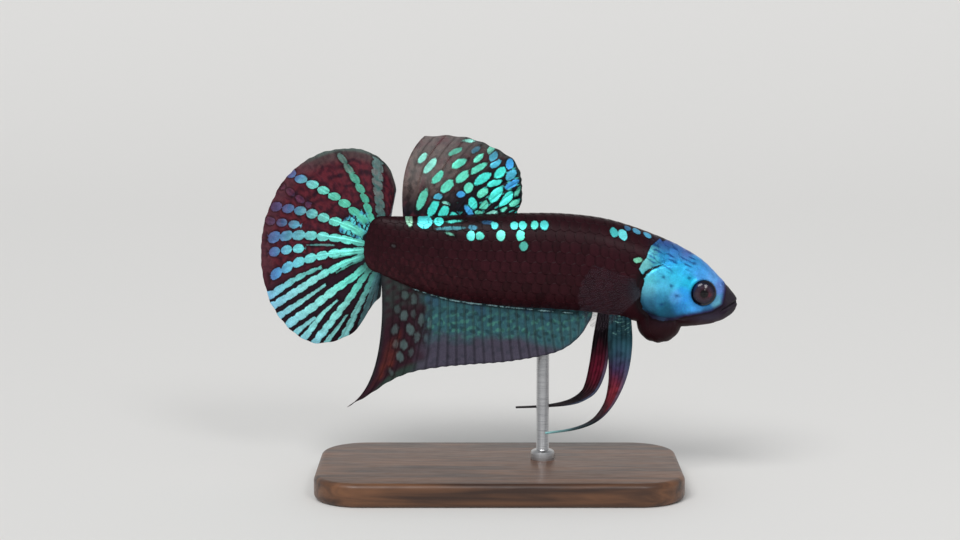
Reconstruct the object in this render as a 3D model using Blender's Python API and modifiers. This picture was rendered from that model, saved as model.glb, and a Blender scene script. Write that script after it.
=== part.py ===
"""A betta fish of the short-finned (plakat) kind, as a life-size display model on a stand.

+X points from the tail to the snout, +Z up, and the fish's right side faces -Y. The origin
is the centre of the stand's foot. As in a fish survey, the body and the fins are given in
percent of the standard length, which runs from the tail base to the snout. The place of
such a point is (x, y, z): x forward of the tail base, y to the left, z above the body axis.
"""

import math

import bmesh
import bpy
from mathutils import Vector

# Driving dimensions, in metres.
STANDARD_LENGTH = 0.0472
TAIL_BASE_X = -0.0173
AXIS_HEIGHT = 0.0286
GAP = 0.0003
FIN_THICKNESS = 0.00055
PAIRED_FIN_THICKNESS = 0.0005
BASE_SIZE = (0.046, 0.025, 0.003)
BASE_CORNER = 0.006
BASE_EDGE = 0.0005
ROD_RADIUS = 0.0008
PERCENT = STANDARD_LENGTH / 100
GAP_PERCENT = GAP / PERCENT

# The tail bends to the left, away from the viewer, behind this place.
SWAY_START = 60.0
SWAY_END = -28.0
SWAY = 9.0

# Mesh fineness.
BODY_SIDES = 28
BODY_RINGS = 40

# Body sections from tail to snout: x, top, bottom, half width.
BODY = {
    "end of the tail plate": (0.0, 2.6, 1.6, 0.3),
    "tail plate": (0.7, 6.6, -1.2, 1.0),
    "scaled edge of the tail": (2.1, 10.4, -2.9, 1.7),
    "tail stalk, narrow": (4.5, 12.1, -3.8, 2.3),
    "tail stalk": (9.0, 12.2, -5.8, 3.2),
    "end of the dorsal fin": (18.0, 12.4, -9.1, 4.6),
    "hind trunk": (28.7, 12.9, -11.2, 5.9),
    "start of the dorsal fin": (40.7, 13.3, -12.3, 6.9),
    "mid trunk": (52.7, 13.3, -12.9, 7.5),
    "shoulder": (63.3, 12.2, -13.9, 7.9),
    "gill opening": (71.3, 10.1, -15.7, 8.0),
    "gill cover": (77.9, 7.6, -17.0, 7.8),
    "cheek": (84.6, 4.5, -17.4, 7.1),
    "eye": (90.7, 0.8, -17.0, 5.9),
    "nostril": (95.2, -3.6, -16.0, 4.4),
    "upper lip": (98.1, -6.9, -14.5, 3.0),
    "lips": (99.6, -8.8, -12.9, 1.7),
    "snout tip": (100.0, -10.2, -11.3, 0.4),
}
WIDEST_AT = 0.54  # height of the widest point, as a share of the section's height
BACK_SQUARENESS = 2.2  # exponents of the section's upper and lower half: 2 is an ellipse
BELLY_SQUARENESS = 1.9

# The parting between trunk and head follows the gill opening, an ellipse seen from the side.
HEAD_CENTRE = (103.2, -6.1)
HEAD_RADII = (29.0, 39.9)
TAIL_STALK_FRONT = 10.6
GILL_COVER_CENTRE = (80.8, -8.0)
GILL_COVER_RADII = (6.1, 7.2)
GILL_COVER_INSIDE = 5.0  # its flat inner face, as a distance from the midline
MOUTH_LINE = ((102.5, -10.0), (98.0, -11.2), (92.6, -14.2), (90.4, -19.5), (102.5, -19.5))
EYE_CENTRE = (90.5, 5.4, -7.5)
EYE_RADII = (3.4, 1.9, 3.4)
GILL_MEMBRANE_CENTRE = (79.3, 0.0, -16.1)
GILL_MEMBRANE_RADII = (5.8, 4.6, 5.7)

# Tail fin: a fan round a centre inside the tail stalk. Angles run anticlockwise from
# forward, seen from the right side, with the fin's reach at each.
CAUDAL_CENTRE = (6.1, 3.2)
CAUDAL_REACH = (
    (79, 15.6), (90, 22.8), (109, 28.2), (136, 31.9), (170, 33.4),
    (190, 34.1), (207, 35.0), (222, 34.7), (234, 32.8), (249, 25.4), (256, 17.5), (264, 14.0),
)
CAUDAL_ROOT = 1.5
CAUDAL_CUP = 5.5

# Dorsal and anal fins: rays run from a root line to the margin. Each row gives a ray's place
# across the fin, from 0 at the hind edge to 1 in front, its root (x, z), the point (x, z)
# that it leaves the body towards before it bends away, and its tip (x, z).
DORSAL_RAYS = (
    (0.0, (11.2, 10.6), (9.5, 27.0), (16.8, 33.2)),
    (0.1, (14.3, 10.8), (15.0, 25.0), (23.7, 33.5)),
    (0.2, (17.3, 10.9), (20.8, 23.2), (30.1, 32.5)),
    (0.33, (21.3, 11.0), (26.7, 22.1), (36.4, 29.8)),
    (0.42, (24.0, 11.1), (30.0, 20.8), (40.4, 27.2)),
    (0.5, (26.5, 11.2), (32.3, 19.2), (42.3, 23.8)),
    (0.7, (32.6, 11.5), (37.0, 16.3), (42.8, 19.3)),
    (0.85, (37.0, 11.7), (39.6, 14.0), (42.6, 15.6)),
    (1.0, (41.0, 11.9), (41.6, 12.7), (41.2, 13.2)),
)
DORSAL_LEAN = 2.6  # how far the margin leans to the left
ANAL_RAYS = (
    (0.0, (5.1, -3.2), (6.8, -33.5), (-4.3, -39.8)),
    (0.05, (8.9, -3.9), (9.5, -28.5), (1.3, -36.6)),
    (0.12, (12.2, -5.0), (12.4, -22.0), (7.7, -32.3)),
    (0.2, (16.4, -6.3), (16.6, -19.0), (13.8, -29.7)),
    (0.3, (21.8, -7.8), (22.0, -18.2), (21.4, -28.3)),
    (0.4, (27.3, -8.8), (27.4, -18.4), (27.7, -27.7)),
    (0.6, (39.0, -10.0), (38.9, -18.3), (40.2, -26.4)),
    (0.8, (50.0, -11.0), (50.4, -17.7), (51.6, -24.1)),
    (0.92, (57.0, -11.6), (58.2, -16.2), (57.7, -20.0)),
    (1.0, (61.3, -12.0), (62.0, -13.7), (60.9, -15.0)),
)
ANAL_LEAN = -2.0

# Pectoral fins: a fan from a short upright root, at angles as for the tail fin.
PECTORAL_ROOT = (74.5, 6.4, -6.0)
PECTORAL_FAN = (161, 217)
PECTORAL_LENGTH = 19.5
PECTORAL_FLARE = 27  # degrees out from the flank

# Pelvic fins: a narrow blade along a bent line. Rows are x, y outwards, z and half width.
RIGHT_PELVIC = (
    (68.8, 1.6, -13.9, 2.7),
    (68.9, 2.9, -20.9, 3.1),
    (69.0, 4.2, -27.3, 2.8),
    (68.2, 5.1, -32.6, 2.3),
    (66.0, 5.8, -37.7, 1.4),
    (62.0, 6.4, -41.6, 0.8),
    (56.5, 6.9, -43.7, 0.6),
    (48.9, 7.4, -44.8, 0.5),
)
LEFT_PELVIC = (
    (65.2, 1.6, -13.9, 2.0),
    (64.2, 2.9, -20.9, 2.1),
    (63.4, 4.2, -28.6, 2.3),
    (61.8, 5.3, -34.4, 1.9),
    (59.4, 5.8, -37.3, 1.2),
    (55.5, 6.3, -39.2, 0.8),
    (49.0, 6.9, -40.3, 0.6),
    (41.3, 7.4, -40.8, 0.5),
)

ROD_PLACE = (48.5, 3.9)

# Colours as (red, green, blue), roughness, metallic.
FINISHES = {
    "body": ((0.028, 0.009, 0.012), 0.35, 0.0),
    "mask": ((0.05, 0.40, 0.75), 0.3, 0.4),
    "jaw": ((0.03, 0.02, 0.03), 0.4, 0.0),
    "eye": ((0.03, 0.01, 0.015), 0.08, 0.0),
    "turquoise": ((0.10, 0.75, 0.62), 0.35, 0.3),
    "anal": ((0.04, 0.13, 0.14), 0.4, 0.1),
    "clear": ((0.20, 0.18, 0.20), 0.4, 0.0),
    "pelvic": ((0.16, 0.01, 0.03), 0.4, 0.0),
    "wood": ((0.23, 0.13, 0.07), 0.5, 0.0),
    "steel": ((0.55, 0.55, 0.56), 0.3, 1.0),
}


def spline(rows, place):
    """The smooth curve through rows of numbers, read at a place from 0 to 1 along them."""
    spans = len(rows) - 1
    at = min(max(place, 0.0), 1.0) * spans
    i = min(int(at), spans - 1)
    t = at - i
    before, start, end, after = (rows[min(max(j, 0), spans)] for j in range(i - 1, i + 3))
    return [
        b + 0.5 * t * (c - a + t * (2 * a - 5 * b + 4 * c - d + t * (3 * (b - c) + d - a)))
        for a, b, c, d in zip(before, start, end, after, strict=True)
    ]


def spline_at(rows, value):
    """The other columns of rows, smoothly interpolated where the first column has value."""
    low, high = 0.0, 1.0
    for _ in range(30):
        middle = (low + high) / 2
        if spline(rows, middle)[0] < value:
            low = middle
        else:
            high = middle
    return spline(rows, low)[1:]


def place(x, y, z):
    """World position of a place given in percent of the standard length."""
    bend = max(0.0, (SWAY_START - x) / (SWAY_START - SWAY_END))
    return Vector(
        (TAIL_BASE_X + x * PERCENT, (y + SWAY * bend * bend) * PERCENT, AXIS_HEIGHT + z * PERCENT)
    )


def material(finish):
    """The named finish as a Principled material, made once."""
    if finish in bpy.data.materials:
        return bpy.data.materials[finish]
    colour, roughness, metallic = FINISHES[finish]
    made = bpy.data.materials.new(finish)
    made.use_nodes = True
    shader = made.node_tree.nodes["Principled BSDF"]
    shader.inputs["Base Color"].default_value = (*colour, 1)
    shader.inputs["Roughness"].default_value = roughness
    shader.inputs["Metallic"].default_value = metallic
    return made


def new_object(name, mesh, collection, finish=None):
    made = bpy.data.objects.new(name, mesh)
    collection.objects.link(made)
    if finish:
        made.data = mesh.copy()
        made.data.materials.append(material(finish))
        made.data.shade_smooth()
    else:
        made.hide_render = True
        made.display_type = "WIRE"
    return made


def mesh_of(shape, name):
    shape.normal_update()
    bmesh.ops.recalc_face_normals(shape, faces=shape.faces)
    mesh = bpy.data.meshes.new(name)
    shape.to_mesh(mesh)
    shape.free()
    return mesh


def cut(part, cutter, operation="DIFFERENCE"):
    modifier = part.modifiers.new(f"{operation.lower()} {cutter.name}", "BOOLEAN")
    modifier.operation = operation
    modifier.object = cutter
    return part


def power(value, exponent):
    return math.copysign(abs(value) ** exponent, value)


def body_mesh(name, grow=0.0):
    """The whole body, a globe drawn out along the sections. grow makes it larger all round."""
    rows = list(BODY.values())
    shape = bmesh.new()
    bmesh.ops.create_uvsphere(shape, u_segments=BODY_SIDES, v_segments=BODY_RINGS, radius=1)
    for vertex in shape.verts:
        along = math.acos(max(-1.0, min(1.0, -vertex.co.z))) / math.pi
        round_angle = math.atan2(vertex.co.y, vertex.co.x)
        x, top, bottom, half_width = spline(rows, along)
        middle = bottom + WIDEST_AT * (top - bottom)
        across, up = math.cos(round_angle), math.sin(round_angle)
        squareness = BACK_SQUARENESS if up > 0 else BELLY_SQUARENESS
        height = (top - middle if up > 0 else middle - bottom) + grow
        if abs(vertex.co.z) > 0.9999:
            across, up = 0.0, 0.0
        vertex.co = place(
            x - grow * math.cos(math.pi * along),
            (half_width + grow) * power(across, 2 / squareness),
            middle + height * power(up, 2 / squareness),
        )
    return mesh_of(shape, name)


def side_cylinder(name, centre, radii, low_y, high_y, collection):
    """A cutter: an elliptic cylinder that runs across the fish."""
    shape = bmesh.new()
    bmesh.ops.create_cone(
        shape, cap_ends=True, segments=48, radius1=1, radius2=1, depth=1
    )
    for vertex in shape.verts:
        x = centre[0] + radii[0] * vertex.co.x
        z = centre[1] + radii[1] * vertex.co.y
        y = low_y + (high_y - low_y) * (vertex.co.z + 0.5)
        vertex.co = Vector(
            (TAIL_BASE_X + x * PERCENT, y * PERCENT, AXIS_HEIGHT + z * PERCENT)
        )
    return new_object(name, mesh_of(shape, name), collection)


def side_prism(name, corners, shift, collection):
    """A cutter: an outline seen from the side, as a prism right across the fish."""
    shape = bmesh.new()
    outline = [
        shape.verts.new(
            (
                TAIL_BASE_X + (x + shift[0]) * PERCENT,
                -20 * PERCENT,
                AXIS_HEIGHT + (z + shift[1]) * PERCENT,
            )
        )
        for x, z in corners
    ]
    face = shape.faces.new(outline)
    pulled = bmesh.ops.extrude_face_region(shape, geom=[face])
    moved = [part for part in pulled["geom"] if isinstance(part, bmesh.types.BMVert)]
    bmesh.ops.translate(shape, verts=moved, vec=(0, 40 * PERCENT, 0))
    return new_object(name, mesh_of(shape, name), collection)


def globe_mesh(name, centre, radii, side=1, grow=0.0, sides=20, rings=12):
    """An ellipsoid with its poles across the fish; side -1 is the fish's right."""
    shape = bmesh.new()
    bmesh.ops.create_uvsphere(shape, u_segments=sides, v_segments=rings, radius=1)
    for vertex in shape.verts:
        across, up, out = vertex.co
        vertex.co = place(
            centre[0] + (radii[0] + grow) * across,
            side * (centre[1] + (radii[1] + grow) * out),
            centre[2] + (radii[2] + grow) * up,
        )
    return mesh_of(shape, name)


def sheet(name, across, along, surface, thickness, finish, collection):
    """A fin: a grid whose points surface(u, v) places, u across the rays, v out along them."""
    shape = bmesh.new()
    bmesh.ops.create_grid(shape, x_segments=across, y_segments=along, size=0.5)
    for vertex in shape.verts:
        vertex.co = place(*surface(vertex.co.x + 0.5, vertex.co.y + 0.5))
    made = new_object(name, mesh_of(shape, name), collection, finish)
    solid = made.modifiers.new("thickness", "SOLIDIFY")
    solid.thickness = thickness
    solid.offset = 0
    return made


def caudal_surface(u, v):
    angles = (CAUDAL_REACH[0][0], CAUDAL_REACH[-1][0])
    angle = angles[0] + (angles[1] - angles[0]) * u
    reach = spline_at(CAUDAL_REACH, angle)[0]
    distance = CAUDAL_ROOT + (reach - CAUDAL_ROOT) * v
    off_middle = 2 * u - 1
    x = CAUDAL_CENTRE[0] + distance * math.cos(math.radians(angle))
    z = CAUDAL_CENTRE[1] + distance * math.sin(math.radians(angle))
    return x, CAUDAL_CUP * (off_middle * v) ** 2, z


def ray_surface(rays, lean):
    """The surface of a fin given by its rays, each one bent from its first direction."""
    flat_rows = [(u, *root, *bend, *tip) for u, root, bend, tip in rays]

    def surface(u, v):
        root_x, root_z, bend_x, bend_z, tip_x, tip_z = spline_at(flat_rows, u)
        a, b, c = (1 - v) ** 2, 2 * v * (1 - v), v * v
        x = a * root_x + b * bend_x + c * tip_x
        z = a * root_z + b * bend_z + c * tip_z
        return x, lean * v * v, z

    return surface


def pectoral_surface(side):
    root_x, root_y, root_z = PECTORAL_ROOT
    flare = math.radians(PECTORAL_FLARE)

    def surface(u, v):
        angle = math.radians(PECTORAL_FAN[0] + (PECTORAL_FAN[1] - PECTORAL_FAN[0]) * u)
        rounded = 1 - 0.22 * (2 * u - 1) ** 2
        distance = PECTORAL_LENGTH * rounded * v
        back = distance * math.cos(angle) * math.cos(flare)
        out = distance * math.sin(flare) * (1 - 0.25 * v)
        # The rays leave a short root line, which stands upright on the flank.
        root_up = 1.6 * (1 - 2 * u)
        return root_x + back, side * (root_y + out), root_z + root_up + distance * math.sin(angle)

    return surface


def pelvic_surface(rows, side):
    def surface(u, v):
        x, y, z, half_width = spline(rows, v)
        ahead = spline(rows, min(1.0, v + 0.02))
        behind = spline(rows, max(0.0, v - 0.02))
        run_x, run_z = ahead[0] - behind[0], ahead[2] - behind[2]
        length = math.hypot(run_x, run_z)
        across = half_width * (2 * u - 1)
        return x - across * run_z / length, side * y, z + across * run_x / length

    return surface


def make_body(parts, cutters):
    """The flesh of the body, parted at the tail stalk, gill opening, gill covers and mouth."""
    whole = body_mesh("body")
    fin_trim = new_object("cut_body", body_mesh("cut_body", GAP_PERCENT), cutters)
    wide = 30.0
    head_room = side_cylinder("cut_head", HEAD_CENTRE, HEAD_RADII, -wide, wide, cutters)
    trunk_room = side_cylinder(
        "cut_gill_opening",
        HEAD_CENTRE,
        [radius + GAP_PERCENT for radius in HEAD_RADII],
        -wide,
        wide,
        cutters,
    )
    far_back, far_down, far_up = -20.0, -40.0, 40.0
    stalk_corners = (
        (far_back, far_down),
        (TAIL_STALK_FRONT, far_down),
        (TAIL_STALK_FRONT, far_up),
        (far_back, far_up),
    )
    stalk_room = side_prism("cut_stalk", stalk_corners, (0, 0), cutters)
    behind_trunk = side_prism("cut_behind_trunk", stalk_corners, (GAP_PERCENT, 0), cutters)
    jaw_room = side_prism("cut_jaw", MOUTH_LINE, (GAP_PERCENT / 2, -GAP_PERCENT), cutters)
    above_jaw = side_prism("cut_mouth", MOUTH_LINE, (0, 0), cutters)

    trunk = new_object("trunk", whole, parts, "body")
    cut(trunk, trunk_room)
    cut(trunk, behind_trunk)
    cut(new_object("tail_stalk", whole, parts, "body"), stalk_room, "INTERSECT")
    cut(new_object("lower_jaw", whole, parts, "jaw"), jaw_room, "INTERSECT")

    head = new_object("head", whole, parts, "mask")
    cut(head, head_room, "INTERSECT")
    cut(head, above_jaw)
    for side, word in ((-1, "right"), (1, "left")):
        inside = GILL_COVER_INSIDE
        cover_room = side_cylinder(
            f"cut_cover_{word}",
            GILL_COVER_CENTRE,
            GILL_COVER_RADII,
            *sorted((side * inside, side * wide)),
            cutters,
        )
        pocket = side_cylinder(
            f"cut_pocket_{word}",
            GILL_COVER_CENTRE,
            [radius + GAP_PERCENT for radius in GILL_COVER_RADII],
            *sorted((side * (inside - GAP_PERCENT), side * wide)),
            cutters,
        )
        cover = new_object(f"gill_cover_{word}", whole, parts, "mask")
        cut(cover, head_room, "INTERSECT")
        cut(cover, cover_room, "INTERSECT")
        cut(head, pocket)

        eye_mesh = globe_mesh(f"eye_{word}", EYE_CENTRE, EYE_RADII, side)
        new_object(f"eye_{word}", eye_mesh, parts, "eye")
        socket = globe_mesh(f"cut_eye_{word}", EYE_CENTRE, EYE_RADII, side, GAP_PERCENT)
        cut(head, new_object(f"cut_eye_{word}", socket, cutters))

    membrane = globe_mesh("gill_membrane", GILL_MEMBRANE_CENTRE, GILL_MEMBRANE_RADII)
    cut(new_object("gill_membrane", membrane, parts, "jaw"), fin_trim)
    return fin_trim


def make_fins(parts, fin_trim):
    """Every fin is set a little into the body and trimmed off just clear of the skin."""
    dorsal = ray_surface(DORSAL_RAYS, DORSAL_LEAN)
    anal = ray_surface(ANAL_RAYS, ANAL_LEAN)
    fins = [
        sheet("caudal_fin", 30, 8, caudal_surface, FIN_THICKNESS, "turquoise", parts),
        sheet("dorsal_fin", 22, 7, dorsal, FIN_THICKNESS, "turquoise", parts),
        sheet("anal_fin", 26, 7, anal, FIN_THICKNESS, "anal", parts),
    ]
    for side, word, rows in ((-1, "right", RIGHT_PELVIC), (1, "left", LEFT_PELVIC)):
        pectoral = pectoral_surface(side)
        pelvic = pelvic_surface(rows, side)
        thin = PAIRED_FIN_THICKNESS
        fins.append(sheet(f"pectoral_fin_{word}", 10, 6, pectoral, thin, "clear", parts))
        fins.append(sheet(f"pelvic_fin_{word}", 4, 22, pelvic, thin, "pelvic", parts))
    for fin in fins:
        cut(fin, fin_trim)


def make_stand(parts, fin_trim):
    """A flat wooden base, and one steel rod beside the anal fin up to the belly."""
    shape = bmesh.new()
    bmesh.ops.create_cube(shape, size=1)
    for vertex in shape.verts:
        vertex.co = [size * co for size, co in zip(BASE_SIZE, vertex.co, strict=True)]
        vertex.co.z += BASE_SIZE[2] / 2
    upright = [edge for edge in shape.edges if abs((edge.verts[0].co - edge.verts[1].co).z) > 0]
    bmesh.ops.bevel(
        shape, geom=upright, offset=BASE_CORNER, segments=6, profile=0.5, affect="EDGES"
    )
    base = new_object("stand_base", mesh_of(shape, "stand_base"), parts, "wood")
    edge = base.modifiers.new("edge", "BEVEL")
    edge.width = BASE_EDGE
    edge.segments = 2
    edge.angle_limit = math.radians(60)

    foot = place(ROD_PLACE[0], ROD_PLACE[1], 0)
    low, high = BASE_SIZE[2] + GAP, AXIS_HEIGHT
    shape = bmesh.new()
    bmesh.ops.create_cone(
        shape,
        cap_ends=True,
        segments=24,
        radius1=ROD_RADIUS,
        radius2=ROD_RADIUS,
        depth=high - low,
    )
    bmesh.ops.translate(shape, verts=shape.verts, vec=(foot.x, foot.y, (low + high) / 2))
    rod = new_object("stand_rod", mesh_of(shape, "stand_rod"), parts, "steel")
    cut(rod, fin_trim)


def main():
    for old in list(bpy.data.objects):
        bpy.data.objects.remove(old)
    parts = bpy.data.collections.new("betta_fish")
    cutters = bpy.data.collections.new("cutters")
    for collection in (parts, cutters):
        bpy.context.scene.collection.children.link(collection)
    fin_trim = make_body(parts, cutters)
    make_fins(parts, fin_trim)
    make_stand(parts, fin_trim)


main()
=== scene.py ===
"""Looks for the life-size betta fish model: one skin with its coat of scales, fins, eyes, stand."""

import math
from collections import namedtuple

import bpy
import numpy as np
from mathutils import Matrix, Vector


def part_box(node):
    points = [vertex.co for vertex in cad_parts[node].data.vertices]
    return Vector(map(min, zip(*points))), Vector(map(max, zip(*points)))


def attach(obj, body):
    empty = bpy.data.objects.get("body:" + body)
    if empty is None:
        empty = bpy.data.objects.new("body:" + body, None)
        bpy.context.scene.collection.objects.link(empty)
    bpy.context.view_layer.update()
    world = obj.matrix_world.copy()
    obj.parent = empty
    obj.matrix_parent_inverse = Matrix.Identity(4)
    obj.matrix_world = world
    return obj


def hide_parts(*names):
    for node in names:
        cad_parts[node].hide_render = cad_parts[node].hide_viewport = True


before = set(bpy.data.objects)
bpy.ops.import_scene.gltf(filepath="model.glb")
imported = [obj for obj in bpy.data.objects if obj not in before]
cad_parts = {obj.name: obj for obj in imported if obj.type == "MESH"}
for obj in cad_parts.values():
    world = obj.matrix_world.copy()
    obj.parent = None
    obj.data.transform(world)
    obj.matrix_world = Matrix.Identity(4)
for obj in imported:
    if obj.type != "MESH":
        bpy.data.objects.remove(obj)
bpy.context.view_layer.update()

# ---------------------------------------------------------------- the fish's own measures
# As in the part: percent of the standard length; x forward of the tail base, y to the left,
# z above the body axis. The scale and the place of the axis are read from the frame.
EYE_Z = -7.5
SNOUT = max(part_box(name)[1].x for name in ("head", "lower_jaw"))
TAIL_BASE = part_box("tail_stalk")[0].x
PERCENT = (SNOUT - TAIL_BASE) / 100
EYE_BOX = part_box("eye_right")
AXIS_HEIGHT = (EYE_BOX[0].z + EYE_BOX[1].z) / 2 - EYE_Z * PERCENT
SWAY_START, SWAY_END, SWAY = 60.0, -28.0, 9.0
SKIN_DEPTH = 0.3

# Body sections from tail to snout: x, top, bottom, half width.
BODY = np.array((
    (0.0, 2.6, 1.6, 0.3), (0.7, 6.6, -1.2, 1.0), (2.1, 10.4, -2.9, 1.7), (4.5, 12.1, -3.8, 2.3),
    (9.0, 12.2, -5.8, 3.2), (18.0, 12.4, -9.1, 4.6), (28.7, 12.9, -11.2, 5.9),
    (40.7, 13.3, -12.3, 6.9), (52.7, 13.3, -12.9, 7.5), (63.3, 12.2, -13.9, 7.9),
    (71.3, 10.1, -15.7, 8.0), (77.9, 7.6, -17.0, 7.8), (84.6, 4.5, -17.4, 7.1),
    (90.7, 0.8, -17.0, 5.9), (95.2, -3.6, -16.0, 4.4), (98.1, -6.9, -14.5, 3.0),
    (99.6, -8.8, -12.9, 1.7), (100.0, -10.2, -11.3, 0.4),
))
WIDEST_AT = 0.54
BACK_SQUARENESS, BELLY_SQUARENESS = 2.2, 1.9

EYE, EYE_RIM = (90.5, EYE_Z), 3.35
GILL_COVER_CENTRE, GILL_COVER_RADII = (84.2, -7.2), (10.3, 7.8)
GILL_SLIT = ((73.9, -3.6), (75.2, -1.9), (76.9, -0.7), (80.3, 0.5))
MEMBRANE_CENTRE, MEMBRANE_RADII = (79.3, -16.3), (5.9, 4.7, 5.3)
MOUTH = ((101.0, -10.2), (99.2, -10.6), (97.6, -11.4), (95.2, -12.9))
NOSTRIL = (95.9, -5.6)
PORES = ((88.0, 0.2), (86.6, -3.4), (81.8, -5.4), (79.8, -3.0), (83.4, -8.1), (79.4, -10.4))

CAUDAL_CENTRE = (6.1, 3.2)
CAUDAL_REACH = np.array((
    (79, 15.6), (90, 22.8), (109, 28.2), (136, 31.9), (170, 33.4),
    (190, 34.1), (207, 35.0), (222, 34.7), (234, 32.8), (249, 25.4), (256, 17.5), (264, 14.0),
))
CAUDAL_ROOT, CAUDAL_CUP = 1.5, 5.5
DORSAL_RAYS = np.array((
    (0.0, 11.2, 10.6, 9.5, 27.0, 16.8, 33.2), (0.1, 14.3, 10.8, 15.0, 25.0, 23.7, 33.5),
    (0.2, 17.3, 10.9, 20.8, 23.2, 30.1, 32.5), (0.33, 21.3, 11.0, 26.7, 22.1, 36.4, 29.8),
    (0.42, 24.0, 11.1, 30.0, 20.8, 40.4, 27.2), (0.5, 26.5, 11.2, 32.3, 19.2, 42.3, 23.8),
    (0.7, 32.6, 11.5, 37.0, 16.3, 42.8, 19.3), (0.85, 37.0, 11.7, 39.6, 14.0, 42.6, 15.6),
    (1.0, 41.0, 11.9, 41.6, 12.7, 41.2, 13.2),
))
ANAL_RAYS = np.array((
    (0.0, 5.1, -3.2, 6.8, -33.5, -4.3, -39.8), (0.05, 8.9, -3.9, 9.5, -28.5, 1.3, -36.6),
    (0.12, 12.2, -5.0, 12.4, -22.0, 7.7, -32.3), (0.2, 16.4, -6.3, 16.6, -19.0, 13.8, -29.7),
    (0.3, 21.8, -7.8, 22.0, -18.2, 21.4, -28.3), (0.4, 27.3, -8.8, 27.4, -18.4, 27.7, -27.7),
    (0.6, 39.0, -10.0, 38.9, -18.3, 40.2, -26.4), (0.8, 50.0, -11.0, 50.4, -17.7, 51.6, -24.1),
    (0.92, 57.0, -11.6, 58.2, -16.2, 57.7, -20.0), (1.0, 61.3, -12.0, 62.0, -13.7, 60.9, -15.0),
))
DORSAL_LEAN, ANAL_LEAN = 2.6, -2.0
PECTORAL_ROOT, PECTORAL_FAN = (74.5, 6.4, -6.0), (161, 217)
PECTORAL_LENGTH, PECTORAL_FLARE = 19.5, 27
PELVIC_LINES = {
    "right": np.array((
        (68.8, 1.6, -13.9, 2.8), (68.8, 2.9, -20.9, 3.2), (68.5, 4.2, -27.3, 2.7),
        (67.5, 5.1, -32.6, 1.9), (65.4, 5.8, -37.7, 1.1), (61.8, 6.4, -41.6, 0.7),
        (56.5, 6.9, -43.7, 0.6), (48.9, 7.4, -44.8, 0.5),
    )),
    "left": np.array((
        (65.2, 1.6, -13.9, 2.0), (64.2, 2.9, -20.9, 2.1), (63.4, 4.2, -28.6, 2.3),
        (61.8, 5.3, -34.4, 1.9), (59.4, 5.8, -37.3, 1.2), (55.5, 6.3, -39.2, 0.8),
        (49.0, 6.9, -40.3, 0.6), (41.3, 7.4, -40.8, 0.5),
    )),
}
SIDES = ((-1, "right"), (1, "left"))
UNMARKED = -2.0  # the value mark where there is no marking at all
NAVY = (14, 20, 44)


# ---------------------------------------------------------------- numbers and tones
def light(tone):
    """Linear light. A tuple is a tone by its 0-255 display values; an array is linear already."""
    if not isinstance(tone, tuple):
        return tone
    value = np.array(tone) / 255
    return np.where(value <= 0.04045, value / 12.92, ((value + 0.055) / 1.055) ** 2.4)


def smooth(low, high, value):
    """A soft step from 0 at low to 1 at high; it falls where low is the greater."""
    t = np.clip((np.asarray(value) - low) / (high - low), 0, 1)
    return t * t * (3 - 2 * t)


def bell(distance, width):
    return np.exp(-((distance / width) ** 2))


def power(value, exponent):
    return np.sign(value) * np.abs(value) ** exponent


def wave(turns):
    return np.sin(2 * math.pi * turns)


def to_whole(value):
    """Distance from a value to the nearest whole number."""
    return np.abs(value - np.round(value))


def between(ends, share):
    """From the first to the second of two values, as share goes from 0 to 1."""
    return ends[0] + (ends[1] - ends[0]) * share


def least(*values):
    return np.minimum.reduce(values)


def grid(rows, columns):
    """The two values of every point of a grid, from the values down its side and along its top."""
    return np.meshgrid(rows, columns, indexing="ij")


def unit_grid(across, along):
    return grid(np.linspace(0, 1, across + 1), np.linspace(0, 1, along + 1))


def circle(count):
    return np.linspace(0, 2 * math.pi, count, endpoint=False)


def mix(a, b, share):
    """Tone a where share is 0, b where it is 1; share has one axis fewer than the tones."""
    share = np.asarray(share)[..., None]
    return light(a) * (1 - share) + light(b) * share


def painted(tone, *coats):
    """A tone with coats over it, in order, each given as its tone and its share."""
    for coat, share in coats:
        tone = mix(tone, coat, share)
    return tone


def put(glow, mark, inside, tone):
    """Glow and mark with one more marking, which shows where it reaches further than the rest."""
    return np.where((inside > mark)[..., None], light(tone), glow), np.maximum(mark, inside)


def ramp(stops, value):
    """The tone at value along (place, tone) stops."""
    places = [place for place, _ in stops]
    tones = np.array([light(tone) for _, tone in stops])
    return np.stack([np.interp(value, places, tones[:, i]) for i in range(3)], -1)


def spline(rows, places):
    """The smooth curve through rows of numbers, read at places from 0 to 1 along them."""
    spans = len(rows) - 1
    at = np.clip(places, 0, 1) * spans
    i = np.minimum(at.astype(int), spans - 1)
    t = (at - i)[..., None]
    a, b, c, d = (rows[np.clip(i + step, 0, spans)] for step in (-1, 0, 1, 2))
    return b + 0.5 * t * (c - a + t * (2 * a - 5 * b + 4 * c - d + t * (3 * (b - c) + d - a)))


def spline_at(rows, values):
    """The rows' other columns, smoothly interpolated where the first column has these values."""
    dense = spline(rows, np.linspace(0, 1, 1601))
    return [np.interp(values, dense[:, 0], dense[:, i]) for i in range(1, rows.shape[1])]


def wander(x, y, size, seed):
    """A smooth wandering value near -1 to 1 that changes over about size."""
    dice = np.random.default_rng(seed)
    total = 0
    for _ in range(7):
        angle, phase = dice.uniform(0, 2 * math.pi, 2)
        pitch = dice.uniform(0.6, 1.7) * 2 * math.pi / size
        total = total + np.sin(pitch * (x * math.cos(angle) + y * math.sin(angle)) + phase)
    return total / 3.2


def blob(x, z, centre, half_length, half_width, slant):
    """How far inside an oval a place is, in percent; below 0 outside it."""
    c, s = math.cos(math.radians(slant)), math.sin(math.radians(slant))
    along = (x - centre[0]) * c + (z - centre[1]) * s
    across = (z - centre[1]) * c - (x - centre[0]) * s
    return (1 - np.hypot(along / half_length, across / half_width)) * min(half_length, half_width)


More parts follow.
